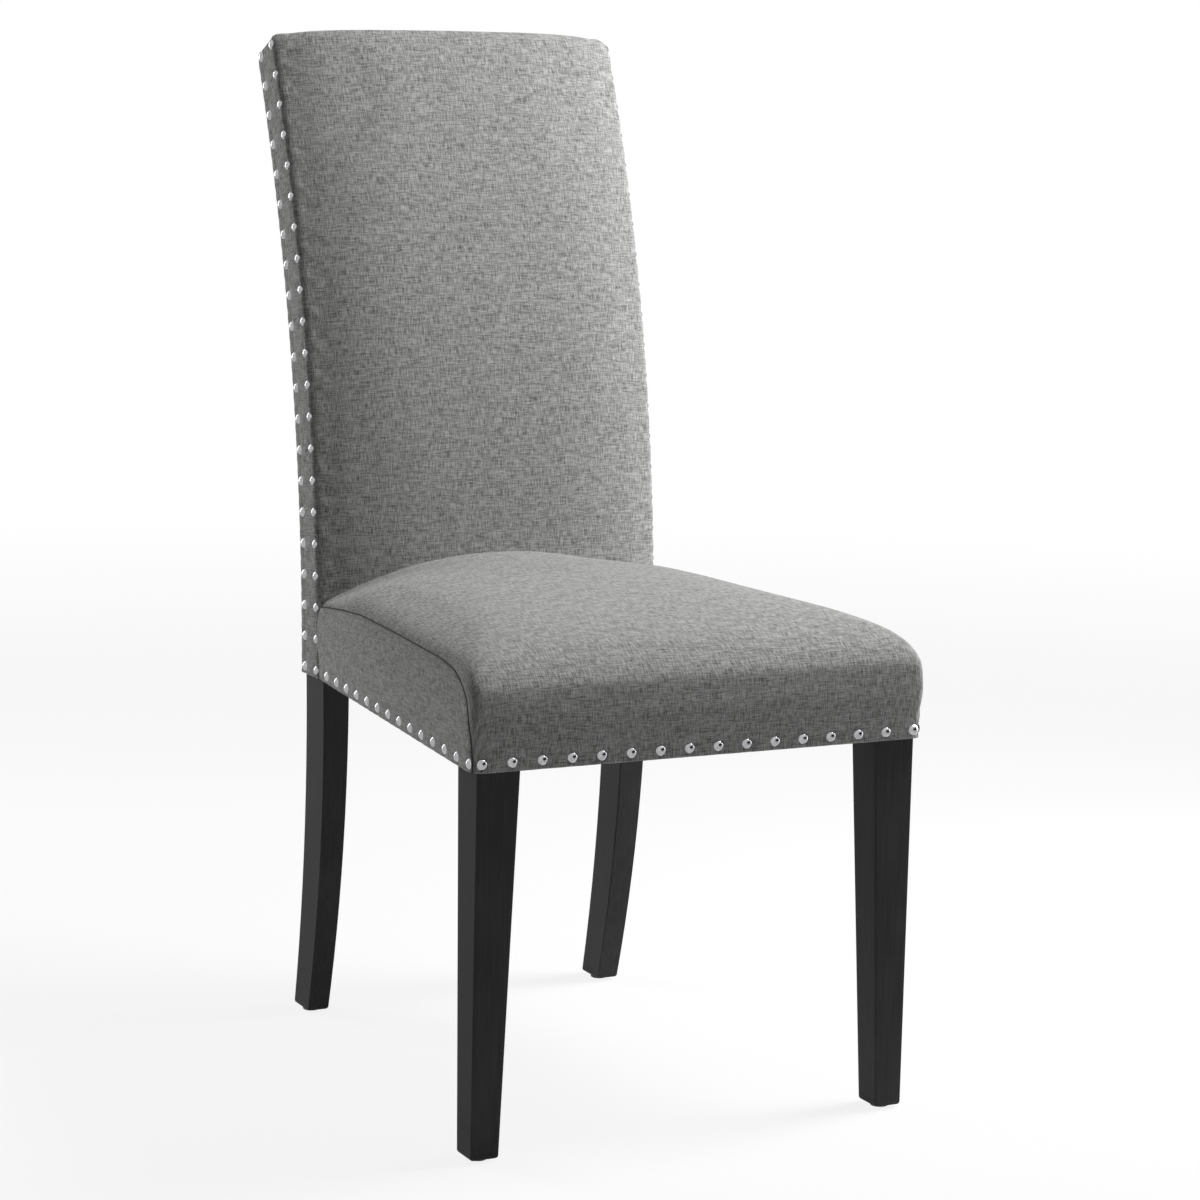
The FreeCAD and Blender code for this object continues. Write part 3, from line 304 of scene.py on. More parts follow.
def back_half_loop(shrink):
    """Half a section of the back, from the middle of its front to the middle of its rear."""
    half, front, rear = BACK_HALF - shrink, shrink, BACK_THICK - shrink
    wide = half - BACK_ROUND_FRONT
    u = closer_at_edges(np.linspace(0, 1, HALF_CELLS + 1), BACK_CROWDING)
    swell = np.array(BACK_SWELL)
    lift = smooth_curve(swell[:, 0], swell[:, 1], 1 - u) * BACK_CROWN
    points = [(wide * a, front - b) for a, b in zip(u, lift)]
    for angle in quarter_turn(FRONT_ROUND_STEPS):
        roll = EDGE_ROLL * max(math.sin(2 * angle - ROLL_LAG), 0)
        points.append((wide + BACK_ROUND_FRONT * math.sin(angle) + roll,
                       front + BACK_ROUND_FRONT * (1 - math.cos(angle))))
    side_start, side_end = front + BACK_ROUND_FRONT, rear - BACK_ROUND_REAR
    span = (side_end - side_start) / (SIDE_DEPTHS[-1] - NAIL_FRONT_DEPTH)
    points += [(half, side_start + (depth - NAIL_FRONT_DEPTH) * span) for depth in SIDE_DEPTHS]
    points += [(half - BACK_ROUND_REAR * (1 - math.cos(angle)),
                side_end + BACK_ROUND_REAR * math.sin(angle)) for angle in quarter_turn(REAR_ROUND_STEPS)]
    points += [((half - BACK_ROUND_REAR) * a, rear) for a in u[::-1][1:]]
    return np.array(points)


# Patches and forms

def weld(patches):
    """One mesh from patches of points, faces, places of each face's corners, and a panel's number."""
    shape = bmesh.new()
    layer = shape.loops.layers.uv.new("weave")
    for points, faces, uvs, panel in patches:
        made = [shape.verts.new(tuple(point)) for point in points]
        for face, corners in zip(faces, uvs):
            new = shape.faces.new([made[k] for k in face])
            new.material_index = panel
            new.smooth = True
            for loop, place in zip(new.loops, corners):
                loop[layer].uv = place
    bmesh.ops.remove_doubles(shape, verts=shape.verts, dist=MERGE)
    return shape


def grid_patch(grid, uv, panel, flip=False):
    rows, columns = grid.shape[:2]
    faces = []
    for r in range(rows - 1):
        for c in range(columns - 1):
            a = r * columns + c
            face = (a, a + 1, a + columns + 1, a + columns)
            faces.append(face[::-1] if flip else face)
    flat = uv.reshape(-1, 2)
    return grid.reshape(-1, 3), faces, [[tuple(flat[k]) for k in face] for face in faces], panel


# Where the faces meet that shut each form.
SEAT_FAN = (0, BACK_Y - 0.2, HEM + 0.02)
BACK_FAN = (0, BACK_Y + 0.03, HEM + 0.02)


def close_open_edges(shape, middle, panel):
    """A fan that shuts the form for the simulation, where the chair's frame stands in it."""
    open_edges = [edge for edge in shape.edges if edge.is_boundary]
    hub = shape.verts.new(middle)
    for edge in open_edges:
        loop = edge.link_loops[0]
        face = shape.faces.new((loop.link_loop_next.vert, loop.vert, hub))
        face.material_index = panel


def seat_shape(closing):
    """The seat's cover: panel 0 is its top and front, 1 and 2 its sides, and closing the shut part."""
    line = np.array(SEAM_LINE)
    top_line, front_line = line[:CORNER_ROW + 1], line[CORNER_ROW:]
    rows_top, rows_front = (round(run_along(part)[-1] / CELL) for part in (top_line, front_line))
    seam = np.concatenate([along(top_line, np.linspace(0, 1, rows_top + 1)),
                           along(front_line, np.linspace(0, 1, rows_front + 1))[1:]])
    left, right = (side_points(seam[:, 0], seam[:, 1], sign) for sign in (-1, 1))
    top = seat_top(left, right)
    run = np.concatenate([np.zeros((1, top.shape[1])),
                          np.cumsum(np.linalg.norm(np.diff(top, axis=0), axis=2), axis=0)])
    wide = np.concatenate([np.zeros((top.shape[0], 1)),
                           np.cumsum(np.linalg.norm(np.diff(top, axis=1), axis=2), axis=1)], axis=1)
    wide -= wide[:, -1:] / 2
    patches = [grid_patch(top, np.stack([wide, -run], 2), 0, flip=True)]
    for sign, edge, panel in ((-1, left, 1), (1, right, 2)):
        grid, flat = seat_side(seam, rows_top, sign, edge)
        patches.append(grid_patch(grid, flat, panel, flip=sign > 0))
    shape = weld(patches)
    close_open_edges(shape, SEAT_FAN, closing)
    return shape


def back_shape(closing):
    """The back's cover: panel 0 is its front and top, 1 and 2 its sides, 3 its rear."""
    low, high = back_turn(HEM), back_turn(BACK_TOP)
    start = high - BACK_TOP_ROUND / BEND_RADIUS
    levels = [(0.0, turn) for turn in np.linspace(low, start, round((start - low) * BEND_RADIUS / CELL))]
    straight = len(levels)
    levels += [(BACK_TOP_ROUND * (1 - math.cos(angle)),
                start + BACK_TOP_ROUND * math.sin(angle) / BEND_RADIUS)
               for angle in quarter_turn(TOP_ROUND_STEPS)]
    half_loops = [back_half_loop(shrink) for shrink, _ in levels]
    right = np.array([[back_place(a, d, turn) for a, d in loop]
                      for loop, (_, turn) in zip(half_loops, levels)])
    left = right * np.array([-1, 1, 1])
    marks = np.array([turn * BEND_RADIUS for _, turn in levels])
    girth = run_along(half_loops[0])
    first = HALF_CELLS + FRONT_ROUND_STEPS
    second = first + STRIP_CELLS
    patches = []
    for grid, sign, panel in ((right, 1, 2), (left, -1, 1)):
        uv = np.stack([np.tile(sign * girth, (len(levels), 1)),
                       np.tile(marks[:, None], (1, len(girth)))], 2)
        flip = sign < 0
        strip, strip_uv = grid[:, first:second + 1], uv[:, first:second + 1]
        patches.append(grid_patch(grid[:, :first + 1], uv[:, :first + 1], 0, flip))
        patches.append(grid_patch(strip[:straight], strip_uv[:straight], panel, flip))
        patches.append(grid_patch(strip[straight - 1:], strip_uv[straight - 1:], 0, flip))
        rear_uv = uv[:, second:].copy()
        rear_uv[..., 0] = sign * (girth[-1] - girth[second:])
        patches.append(grid_patch(grid[:, second:], rear_uv, 3, flip))
    # The flat of the top, between the front and the rear of the last section.
    rear_start = len(girth) - 1 - HALF_CELLS
    cap = fill_between(
        np.concatenate([left[-1, 1:HALF_CELLS + 1][::-1], right[-1, :HALF_CELLS + 1]]),
        np.concatenate([left[-1, rear_start:-1], right[-1, rear_start:][::-1]]),
        left[-1, HALF_CELLS:rear_start + 1], right[-1, HALF_CELLS:rear_start + 1])
    cap[1:-1, 1:-1, 2] += CAP_RISE
    cap_uv = np.stack([cap[..., 0], marks[-1] + cap[..., 1] - cap[0, 0, 1]], 2)
    patches.append(grid_patch(cap, cap_uv, 0))
    shape = weld(patches)
    close_open_edges(shape, BACK_FAN, closing)
    return shape


# Meshes and modifiers

def as_object(mesh, name):
    piece = bpy.data.objects.new(name, mesh)
    bpy.context.collection.objects.link(piece)
    return piece


def shape_object(shape, name):
    mesh = bpy.data.meshes.new(name)
    shape.to_mesh(mesh)
    shape.free()
    return as_object(mesh, name)


def read_vectors(mesh, kind="co"):
    values = np.empty(len(mesh.vertices) * 3)
    mesh.vertices.foreach_get(kind, values)
    return values.reshape(-1, 3)


def write_points(mesh, points):
    mesh.vertices.foreach_set("co", np.ascontiguousarray(points, dtype=np.float32).ravel())
    mesh.update()


def only(piece):
    bpy.ops.object.select_all(action="DESELECT")
    piece.select_set(True)
    bpy.context.view_layer.objects.active = piece


def finish_with(piece, kind, **settings):
    """Add a modifier, set it and apply it."""
    only(piece)
    modifier = piece.modifiers.new(kind.lower(), kind)
    for name, value in settings.items():
        setattr(modifier, name, value)
    bpy.ops.object.modifier_apply(modifier=modifier.name)


def cut_away(shape, panels):
    """Delete every face of some panels."""
    away = [face for face in shape.faces if face.material_index in panels]
    bmesh.ops.delete(shape, geom=away, context="FACES")


def panel_borders(mesh, closing):
    """Which vertices lie on a seam between two panels, and which on the shut part of the form."""
    panels = [set() for _ in mesh.vertices]
    for polygon in mesh.polygons:
        for vertex in polygon.vertices:
            panels[vertex].add(polygon.material_index)
    seam = np.array([len(found - {closing}) > 1 for found in panels])
    shut = np.array([closing in found for found in panels])
    return seam, shut


# Nails: how far a head's points lie apart, how far it holds the cloth, the dip that it makes in it
# and the ring that rises round the dip.
NAIL_REACH = 0.013
NAIL_HOLD = 0.008
NAIL_PULL = 0.0003
NAIL_PULL_REACH = 0.0075
RING_RISE = 0.0008
RING = 0.0135
RING_WIDTH = 0.005


def nail_places(*names):
    """The middle of each nail's head in nodes that hold a row of nails."""
    found = []
    for name in names:
        left = np.unique(read_vectors(nodes[name].data).round(5), axis=0)
        while len(left):
            close = np.linalg.norm(left - left[0], axis=1) < NAIL_REACH
            found.append((left[close].min(0) + left[close].max(0)) / 2)
            left = left[~close]
    return np.array(found)


def distance_to(points, places):
    """How far each point is from the nearest place of a list."""
    tree = KDTree(len(places))
    for number, place in enumerate(places):
        tree.insert(place, number)
    tree.balance()
    return np.array([tree.find(point)[2] for point in points])


def nearness(distance, radius):
    """1 at no distance, falling to 0 past the radius."""
    return np.exp(-(distance / radius) ** 2)


# Stuffing: the cloth's settings, how firmly it is held where, and the radius of the dark cord that paints a
# seam's shadow.
CLOTH = {"quality": 6, "mass": 0.25, "air_damping": 6, "tension_stiffness": 30, "compression_stiffness": 30,
         "shear_stiffness": 12, "bending_stiffness": 1.5, "use_pressure": True, "uniform_pressure_force": 3.0}
STUFFING_STEPS = 8
NAILED = 1.0
STITCHED = 0.35
HEM_BAND = 0.003
SEAM_SHADOW_CORD = 0.0008


def held_weights(form, closing, nails):
    """How firmly the cloth is held: fully at nails, hem and frame, and partly along its seams."""
    points = read_vectors(form.data)
    seam, shut = panel_borders(form.data, closing)
    near_nail = nearness(distance_to(points, nails), NAIL_HOLD) > 0.5
    held = np.where(seam, STITCHED, 0.0)
    return np.where(shut | (points[:, 2] < HEM + HEM_BAND) | near_nail, NAILED, held)


def stuff(form, held, most):
    """Blow the cover up a little against its nails and seams with a cloth simulation."""
    before, ways = read_vectors(form.data), read_vectors(form.data, "normal")
    group = form.vertex_groups.new(name="held")
    for weight in (NAILED, STITCHED):
        group.add([int(k) for k in np.nonzero(held == weight)[0]], weight, "REPLACE")
    cloth = form.modifiers.new("stuffing", "CLOTH")
    cloth.settings.vertex_group_mass = "held"
    for name, value in CLOTH.items():
        setattr(cloth.settings, name, value)
    cloth.settings.effector_weights.gravity = 0
    cloth.point_cache.frame_start = 1
    cloth.point_cache.frame_end = STUFFING_STEPS
    for step in range(1, STUFFING_STEPS + 1):
        bpy.context.scene.frame_set(step)
    only(form)
    bpy.ops.object.modifier_apply(modifier="stuffing")
    bpy.context.scene.frame_set(1)
    form.vertex_groups.clear()
    swell = np.einsum("ij,ij->i", read_vectors(form.data) - before, ways)
    swell = most * np.tanh(np.maximum(swell, 0) / most) * (held < NAILED)
    write_points(form.data, before + ways * swell[:, None])
    print("stuffing", form.name, "swells by %.1f mm, at most %.1f mm"
          % (swell.mean() * 1000, swell.max() * 1000))


def open_again(form, closing):
    """Take out the fan that shut the form."""
    shape = bmesh.new()
    shape.from_mesh(form.data)
    cut_away(shape, {closing})
    shape.to_mesh(form.data)
    shape.free()


def tuck(form, closing, nails, seam_depth):
    """Draw the cover in at its seams, and round it up between its nails, after a first subdivision."""
    open_again(form, closing)
    finish_with(form, "SUBSURF", levels=1, render_levels=1)
    points, ways = read_vectors(form.data), read_vectors(form.data, "normal")
    seam, _ = panel_borders(form.data, closing)
    distance = distance_to(points, nails)
    pull = nearness(distance, NAIL_PULL_REACH) * NAIL_PULL
    pull -= nearness(distance - RING, RING_WIDTH) * RING_RISE
    pull += seam * seam_depth
    write_points(form.data, points - ways * pull[:, None])


def seam_shadow_cord(form, panel, name):
    """Painted shadow of a seam: a thin dark cord along the edges between the top panel and a side panel,
    where the seam's groove lies in shade.
    """
    shape = bmesh.new()
    shape.from_mesh(form.data)
    line = bmesh.new()
    copies = {}
    for edge in shape.edges:
        if {face.material_index for face in edge.link_faces} == {0, panel}:
            for vertex in edge.verts:
                if vertex not in copies:
                    copies[vertex] = line.verts.new(vertex.co)
            line.edges.new([copies[vertex] for vertex in edge.verts])
    shape.free()
    cord = shape_object(line, name)
    only(cord)
    bpy.ops.object.convert(target="CURVE")
    cord.data.bevel_depth = SEAM_SHADOW_CORD
    cord.data.bevel_resolution = 1
    bpy.ops.object.convert(target="MESH")
    return bpy.context.view_layer.objects.active


def panel_pieces(form, names):
    """Cut a form into its panels, each its own piece with a wall and a folded edge."""
    made = {}
    for number, name in enumerate(names):
        shape = bmesh.new()
        shape.from_mesh(form.data)
        cut_away(shape, set(range(len(names))) - {number})
        for face in shape.faces:
            face.material_index = 0
            face.smooth = True
        made[name] = shape_object(shape, name)
        finish_with(made[name], "SUBSURF", levels=1, render_levels=1)
        finish_with(made[name], "SOLIDIFY", thickness=COVER, offset=-1.0)
        made[name].data.shade_smooth()
    bpy.data.objects.remove(form)
    return made


# Seat cover
SEAT_PANELS = {"seat_top_panel": "seat_cover_top", "seat_side_panel_left": "seat_cover_side_left",
               "seat_side_panel_right": "seat_cover_side_right"}
SEAT_CLOSING = len(SEAT_PANELS)
seat = shape_object(seat_shape(SEAT_CLOSING), "seat_form")
seat_nails = nail_places("seat_front_nails", "seat_side_nails_left", "seat_side_nails_right")
stuff(seat, held_weights(seat, SEAT_CLOSING, seat_nails), most=0.0022)
tuck(seat, SEAT_CLOSING, seat_nails, seam_depth=0.0009)
# The cords are painted seam shadow: a dark line where each seam's groove lies in shade.
seams = [seam_shadow_cord(seat, panel, name) for panel, name in ((1, "seat_seam_shadow_left"), (2, "seat_seam_shadow_right"))]
seat_panels = panel_pieces(seat, SEAT_PANELS)

# Back cover
BACK_PANELS = {"back_front_panel": "back_cover_front", "back_side_panel_left": "back_side_strip_left",
               "back_side_panel_right": "back_side_strip_right", "back_rear_panel": "back_cover_rear"}
BACK_CLOSING = len(BACK_PANELS)
back = shape_object(back_shape(BACK_CLOSING), "back_form")
back_nails = nail_places(*["back_%s_nails_%s" % (column, side)
                           for column in ("front", "rear") for side in ("left", "right")])
stuff(back, held_weights(back, BACK_CLOSING, back_nails), most=0.0018)
tuck(back, BACK_CLOSING, back_nails, seam_depth=0.0004)
back_panels = panel_pieces(back, BACK_PANELS)

for panels, stands_for, fill in ((seat_panels, SEAT_PANELS, 0.75), (back_panels, BACK_PANELS, 0.7)):
    for name, node in stands_for.items():
        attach(panels[name], "root")
        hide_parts(node)
for cord in seams:
    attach(cord, "root")

# Legs: the foot's round, cuts through it as shares of its height, and room round the glide's pin.
FOOT_ROUND = 0.003
FOOT_CUTS = (0.06, 0.2, 0.45, 1.0)
PIN_CLEAR = 0.008
SOLE_BAND = 0.0001
LEG_MERGE = 0.00001


def round_foot(name):
    """A leg whose foot is rounded over all round its lower edge, from a merged copy of its solid."""
    leg = as_object(nodes[name].data.copy(), name + "_rounded")
    only(leg)
    bpy.ops.mesh.customdata_custom_splitnormals_clear()
    sole = min(vertex.co.z for vertex in leg.data.vertices)
    bpy.ops.object.mode_set(mode="EDIT")
    bpy.ops.mesh.select_all(action="SELECT")
    bpy.ops.mesh.remove_doubles(threshold=LEG_MERGE)
    for cut in FOOT_CUTS:
        bpy.ops.mesh.select_all(action="SELECT")
        bpy.ops.mesh.bisect(plane_co=(0, 0, sole + FOOT_ROUND * cut), plane_no=(0, 0, 1))
    shape = bmesh.from_edit_mesh(leg.data)
    outline = np.array([tuple(vertex.co.xy) for vertex in shape.verts if vertex.co.z < sole + SOLE_BAND])
    middle, half = (outline.max(0) + outline.min(0)) / 2, (outline.max(0) - outline.min(0)) / 2
    for vertex in shape.verts:
        rise = (vertex.co.z - sole) / FOOT_ROUND
        away = np.array(vertex.co.xy) - middle
        if rise < 1 and np.linalg.norm(away) > PIN_CLEAR:
            inset = FOOT_ROUND * (1 - math.sqrt(1 - (1 - max(rise, 0)) ** 2))
            vertex.co.xy = middle + away * (1 - inset / half)
    bmesh.update_edit_mesh(leg.data)
    bpy.ops.object.mode_set(mode="OBJECT")
    bpy.ops.object.shade_smooth_by_angle(angle=math.radians(30))
    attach(leg, "root")
    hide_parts(name)
    return leg


legs = [round_foot(name) for name in ("front_leg_left", "front_leg_right",
                                      "rear_post_left", "rear_post_right")]


# Node groups

COLOUR, NUMBER, PLACE = "NodeSocketColor", "NodeSocketFloat", "NodeSocketVector"
GREY = (0.5, 0.5, 0.5, 1)
PATTERN_OUTPUTS = (("Color", COLOUR), ("Height", NUMBER), ("Roughness", NUMBER))

# Threads of the weave: repeats per metre across and along the cloth, detail, and a place in the noise.
WARP = (1000, 95, 2.0, 3.1)
WEFT = (110, 1050, 2.0, 11.3)
FUZZ = (1500, 1500, 1.0, 5.7)
HEATHER = (26, 34, 3.0, 17.9)
WEFT_SHARE = 0.45
FUZZ_SHARE = 0.15
HEATHER_SHARE = 0.03
WAVE_HEIGHT = 0.35


def node_group(name, inputs):
    """A group with a place and more inputs, and with the outputs that each pattern has."""
    group = bpy.data.node_groups.new(name, "ShaderNodeTree")
    group.interface.new_socket(name="Place", in_out="INPUT", socket_type=PLACE)
    for label, kind, value in inputs:
        group.interface.new_socket(name=label, in_out="INPUT", socket_type=kind).default_value = value
    for label, kind in PATTERN_OUTPUTS:
        group.interface.new_socket(name=label, in_out="OUTPUT", socket_type=kind)
    return group, group.nodes.new("NodeGroupInput"), group.nodes.new("NodeGroupOutput")


def put(tree, kind, links=None, **settings):
    """A node with its settings, and its inputs linked or set."""
    node = tree.nodes.new(kind)
    for name, value in settings.items():
        setattr(node, name, value)
    for name, value in (links or {}).items():
        if isinstance(value, bpy.types.NodeSocket):
            tree.links.new(value, node.inputs[name])
        else:
            node.inputs[name].default_value = value
    return node


def noise(tree, place, scale, detail, **more):
    inputs = {"Vector": place, "Scale": scale, "Detail": detail, **more}
    return put(tree, "ShaderNodeTexNoise", inputs).outputs["Fac"]


def two_tone(group, start, share):
    """A colour between the group's dark and light ones."""
    return put(group, "ShaderNodeMix", {0: share, 6: start.outputs["Dark"], 7: start.outputs["Light"]},
               data_type="RGBA").outputs[2]


def hand_out(group, end, colour, height, roughness):
    for (label, _), value in zip(PATTERN_OUTPUTS, (colour, height, roughness)):
        group.links.new(value, end.inputs[label])


def rough_between(group, start, share):
    return put(group, "ShaderNodeMapRange", {"Value": share, "To Min": start.outputs["Low"],
                                             "To Max": start.outputs["High"]}).outputs[0]


def weave_group():
    """Slubby plain weave: threads along both directions of the cloth, each with its own shade."""
    group, start, end = node_group("linen weave", (("Dark", COLOUR, GREY), ("Light", COLOUR, GREY),
                                                   ("Thread", NUMBER, 0.0011)))
    place = start.outputs["Place"]

    def streaks(across, lengthwise, detail, seed):
        scaled = put(group, "ShaderNodeVectorMath", {0: place, 1: (across, lengthwise, 1.0)},
                     operation="MULTIPLY").outputs[0]
        moved = put(group, "ShaderNodeVectorMath", {0: scaled, 1: (seed, seed * 1.7, seed * 0.3)},
                    operation="ADD").outputs[0]
        return noise(group, moved, 1.0, detail, Roughness=0.6)

    def mix(a, b, share):
        return put(group, "ShaderNodeMix", {0: share, 2: a, 3: b}, data_type="FLOAT").outputs[0]

    threads = mix(streaks(*WARP), streaks(*WEFT), WEFT_SHARE)
    threads = mix(threads, streaks(*FUZZ), FUZZ_SHARE)
    heather = mix(threads, streaks(*HEATHER), HEATHER_SHARE)
    spread = put(group, "ShaderNodeMapRange",
                 {"Value": heather, "From Min": 0.375, "From Max": 0.625}).outputs[0]
    # Height of the threads: one wave each way.
    split = put(group, "ShaderNodeSeparateXYZ", {0: place})
    waves = []
    for axis in (0, 1):
        turns = put(group, "ShaderNodeMath", {0: split.outputs[axis], 1: start.outputs["Thread"]},
                    operation="DIVIDE").outputs[0]
        angle = put(group, "ShaderNodeMath", {0: turns, 1: 2 * math.pi}, operation="MULTIPLY").outputs[0]
        waves.append(put(group, "ShaderNodeMath", {0: angle}, operation="SINE").outputs[0])
    crossing = put(group, "ShaderNodeMath", {0: waves[0], 1: waves[1]}, operation="MULTIPLY").outputs[0]
    height = put(group, "ShaderNodeMath", {0: crossing, 1: WAVE_HEIGHT, 2: heather},
                 operation="MULTIPLY_ADD").outputs[0]
    roughness = put(group, "ShaderNodeMapRange", {"Value": threads, "To Min": 0.95, "To Max": 0.8}).outputs[0]
    hand_out(group, end, two_tone(group, start, spread), height, roughness)
    return group


def grain_group():
    """Long grain with pores, and a slow change of shade along the piece."""
    group, start, end = node_group("wood grain", (("Dark", COLOUR, GREY), ("Light", COLOUR, GREY),
                                                  ("Low", NUMBER, 0.4), ("High", NUMBER, 0.6)))
    place = start.outputs["Place"]
    stretched = put(group, "ShaderNodeVectorMath", {0: place, 1: (420, 420, 14)},
                    operation="MULTIPLY").outputs[0]
    grain = noise(group, stretched, 1.0, 4.0)
    slow = noise(group, place, 9.0, 2.0)
    both = put(group, "ShaderNodeMath", {0: grain, 1: slow}, operation="ADD").outputs[0]
    share = put(group, "ShaderNodeMapRange", {"Value": both, "From Min": 0.75, "From Max": 1.25}).outputs[0]
    hand_out(group, end, two_tone(group, start, share), grain, rough_between(group, start, share))
    return group


def mottle_group():
    """A fine mottle for moulded, foamed and metal surfaces."""
    group, start, end = node_group("mottle", (("Scale", NUMBER, 900.0), ("Dark", COLOUR, GREY),
                                              ("Light", COLOUR, GREY), ("Low", NUMBER, 0.3),
                                              ("High", NUMBER, 0.5)))
    dots = noise(group, start.outputs["Place"], start.outputs["Scale"], 3.0)
    share = put(group, "ShaderNodeMapRange", {"Value": dots, "From Min": 0.35, "From Max": 0.65}).outputs[0]
    hand_out(group, end, two_tone(group, start, share), share, rough_between(group, start, share))
    return group


WEAVE, GRAIN, MOTTLE = weave_group(), grain_group(), mottle_group()


# Finishes

def tones(dark, light, **more):
    """A pattern's two colours, and its other values."""
    return {"Dark": (*dark, 1), "Light": (*light, 1), **more}


def finish_material(name, group, values, bump, distance, uv=False, **sockets):
    material = bpy.data.materials.new(name)
    material.use_nodes = True
    tree = material.node_tree
    tree.nodes.clear()
    output = tree.nodes.new("ShaderNodeOutputMaterial")
    shader = tree.nodes.new("ShaderNodeBsdfPrincipled")
    for socket, value in sockets.items():
        shader.inputs[socket.replace("_", " ")].default_value = value
    if uv:
        place = put(tree, "ShaderNodeUVMap", uv_map="weave").outputs["UV"]
    else:
        place = tree.nodes.new("ShaderNodeTexCoord").outputs["Object"]
    pattern = tree.nodes.new("ShaderNodeGroup")
    pattern.node_tree = group
    tree.links.new(place, pattern.inputs["Place"])
    for label, value in values.items():
        pattern.inputs[label].default_value = value
    tree.links.new(pattern.outputs["Color"], shader.inputs["Base Color"])
    tree.links.new(pattern.outputs["Roughness"], shader.inputs["Roughness"])
    raised = put(tree, "ShaderNodeBump", {"Strength": bump, "Distance": distance,
                                          "Height": pattern.outputs["Height"]})
    tree.links.new(raised.outputs[0], shader.inputs["Normal"])
    tree.links.new(shader.outputs[0], output.inputs[0])
    return material


def dress(piece, finish):
    piece.data.materials.clear()
    piece.data.materials.append(finish)


linen = finish_material("grey linen", WEAVE, tones((0.085, 0.086, 0.078), (0.50, 0.50, 0.495)),
                        bump=0.5, distance=0.0006, uv=True, Sheen_Weight=0.12, Sheen_Roughness=0.5,
                        Specular_IOR_Level=0.25)
# The seam cords' near-black colour is painted shadow, the shade in the seams' grooves.
painted_seam_shadow = finish_material("painted seam shadow", MOTTLE, tones((0.02, 0.02, 0.019), (0.04, 0.04, 0.038),
                                                         Low=0.85, High=0.95),
                             bump=0.3, distance=0.0003)
black_wood = finish_material("satin black wood", GRAIN, tones((0.042, 0.042, 0.043), (0.058, 0.058, 0.059),
                                                              Low=0.45, High=0.55),
                             bump=0.12, distance=0.0003, Specular_IOR_Level=0.04)
SLOT_FINISH = {
    "black_wood": black_wood,
    "frame_wood": finish_material("bare frame wood", GRAIN, tones((0.42, 0.28, 0.16), (0.62, 0.46, 0.29),
                                                                  Low=0.6, High=0.8),
                                  bump=0.2, distance=0.0004),
    "plywood": finish_material("plywood", GRAIN, tones((0.48, 0.34, 0.2), (0.66, 0.52, 0.35),
                                                       Low=0.6, High=0.8),
                               bump=0.2, distance=0.0004),
    "steel": finish_material("zinc plated steel", MOTTLE, tones((0.55, 0.55, 0.56), (0.68, 0.68, 0.7),
                                                                Low=0.3, High=0.42),
                             bump=0.1, distance=0.0002, Metallic=1.0),
    # The nail chrome's colour is darker than chrome's own: painted shade in its reflections, so the heads
    # mirror a dimmer studio.
    "nail_chrome": finish_material("nail chrome with painted shade", MOTTLE, tones((0.36, 0.36, 0.37), (0.46, 0.46, 0.47),
                                                                Scale=260.0, Low=0.06, High=0.12),
                                   bump=0.05, distance=0.0001, Metallic=1.0),
    "foam": finish_material("foam", MOTTLE, tones((0.78, 0.74, 0.6), (0.88, 0.85, 0.72),
                                                  Low=0.9, High=1.0),
                            bump=0.5, distance=0.0006),
    "wadding": finish_material("fibre wadding", MOTTLE, tones((0.8, 0.8, 0.78), (0.9, 0.9, 0.88),
                                                              Low=0.9, High=1.0),
                               bump=0.5, distance=0.0006),
    "black_cloth": finish_material("black underside cloth", MOTTLE,
                                   tones((0.012, 0.012, 0.012), (0.03, 0.03, 0.03),
                                         Scale=1400.0, Low=0.85, High=0.95),
                                   bump=0.4, distance=0.0003),
    "glide_nylon": finish_material("glide nylon", MOTTLE, tones((0.022, 0.022, 0.023), (0.034, 0.034, 0.035),
                                                                Low=0.45, High=0.6),
                                   bump=0.2, distance=0.0002),
}

node_slots = {entry["node"]: entry["material_slot"] for entry in frame["record"]["subparts"]}
for name, node in nodes.items():
    if node_slots[name] != "grey_linen":
        dress(node, SLOT_FINISH[node_slots[name]])
for piece in (*seat_panels.values(), *back_panels.values()):
    dress(piece, linen)
for leg in legs:
    dress(leg, black_wood)
for cord in seams:
    dress(cord, painted_seam_shadow)


# Studio

FLOOR_REACH = 9
GLOW_NEAR = 1.2
GLOW_FAR = 4.0
GLOW_SHARE = 0.86
SKY_LIGHT = 0.04
FLAG_WIDTH = 6.0
FLAG_LOW = 0.35
FLAG_HIGH = 3.6


def seen_directly(tree):
    """1 for what the camera sees, also in a reflection or through glass, and 0 for light on the object."""
    path = tree.nodes.new("ShaderNodeLightPath")
    seen = put(tree, "ShaderNodeMath", {0: path.outputs["Is Camera Ray"], 1: path.outputs["Is Glossy Ray"]},
               operation="MAXIMUM").outputs[0]
    return put(tree, "ShaderNodeMath", {0: seen, 1: path.outputs["Is Transmission Ray"]},
               operation="MAXIMUM").outputs[0]


def stage_plane(name, corners):
    mesh = bpy.data.meshes.new(name)
    mesh.from_pydata(corners, [], [(0, 1, 2, 3)])
    piece = as_object(mesh, name)
    material = bpy.data.materials.new(name)
    material.use_nodes = True
    mesh.materials.append(material)
    return piece, material.node_tree


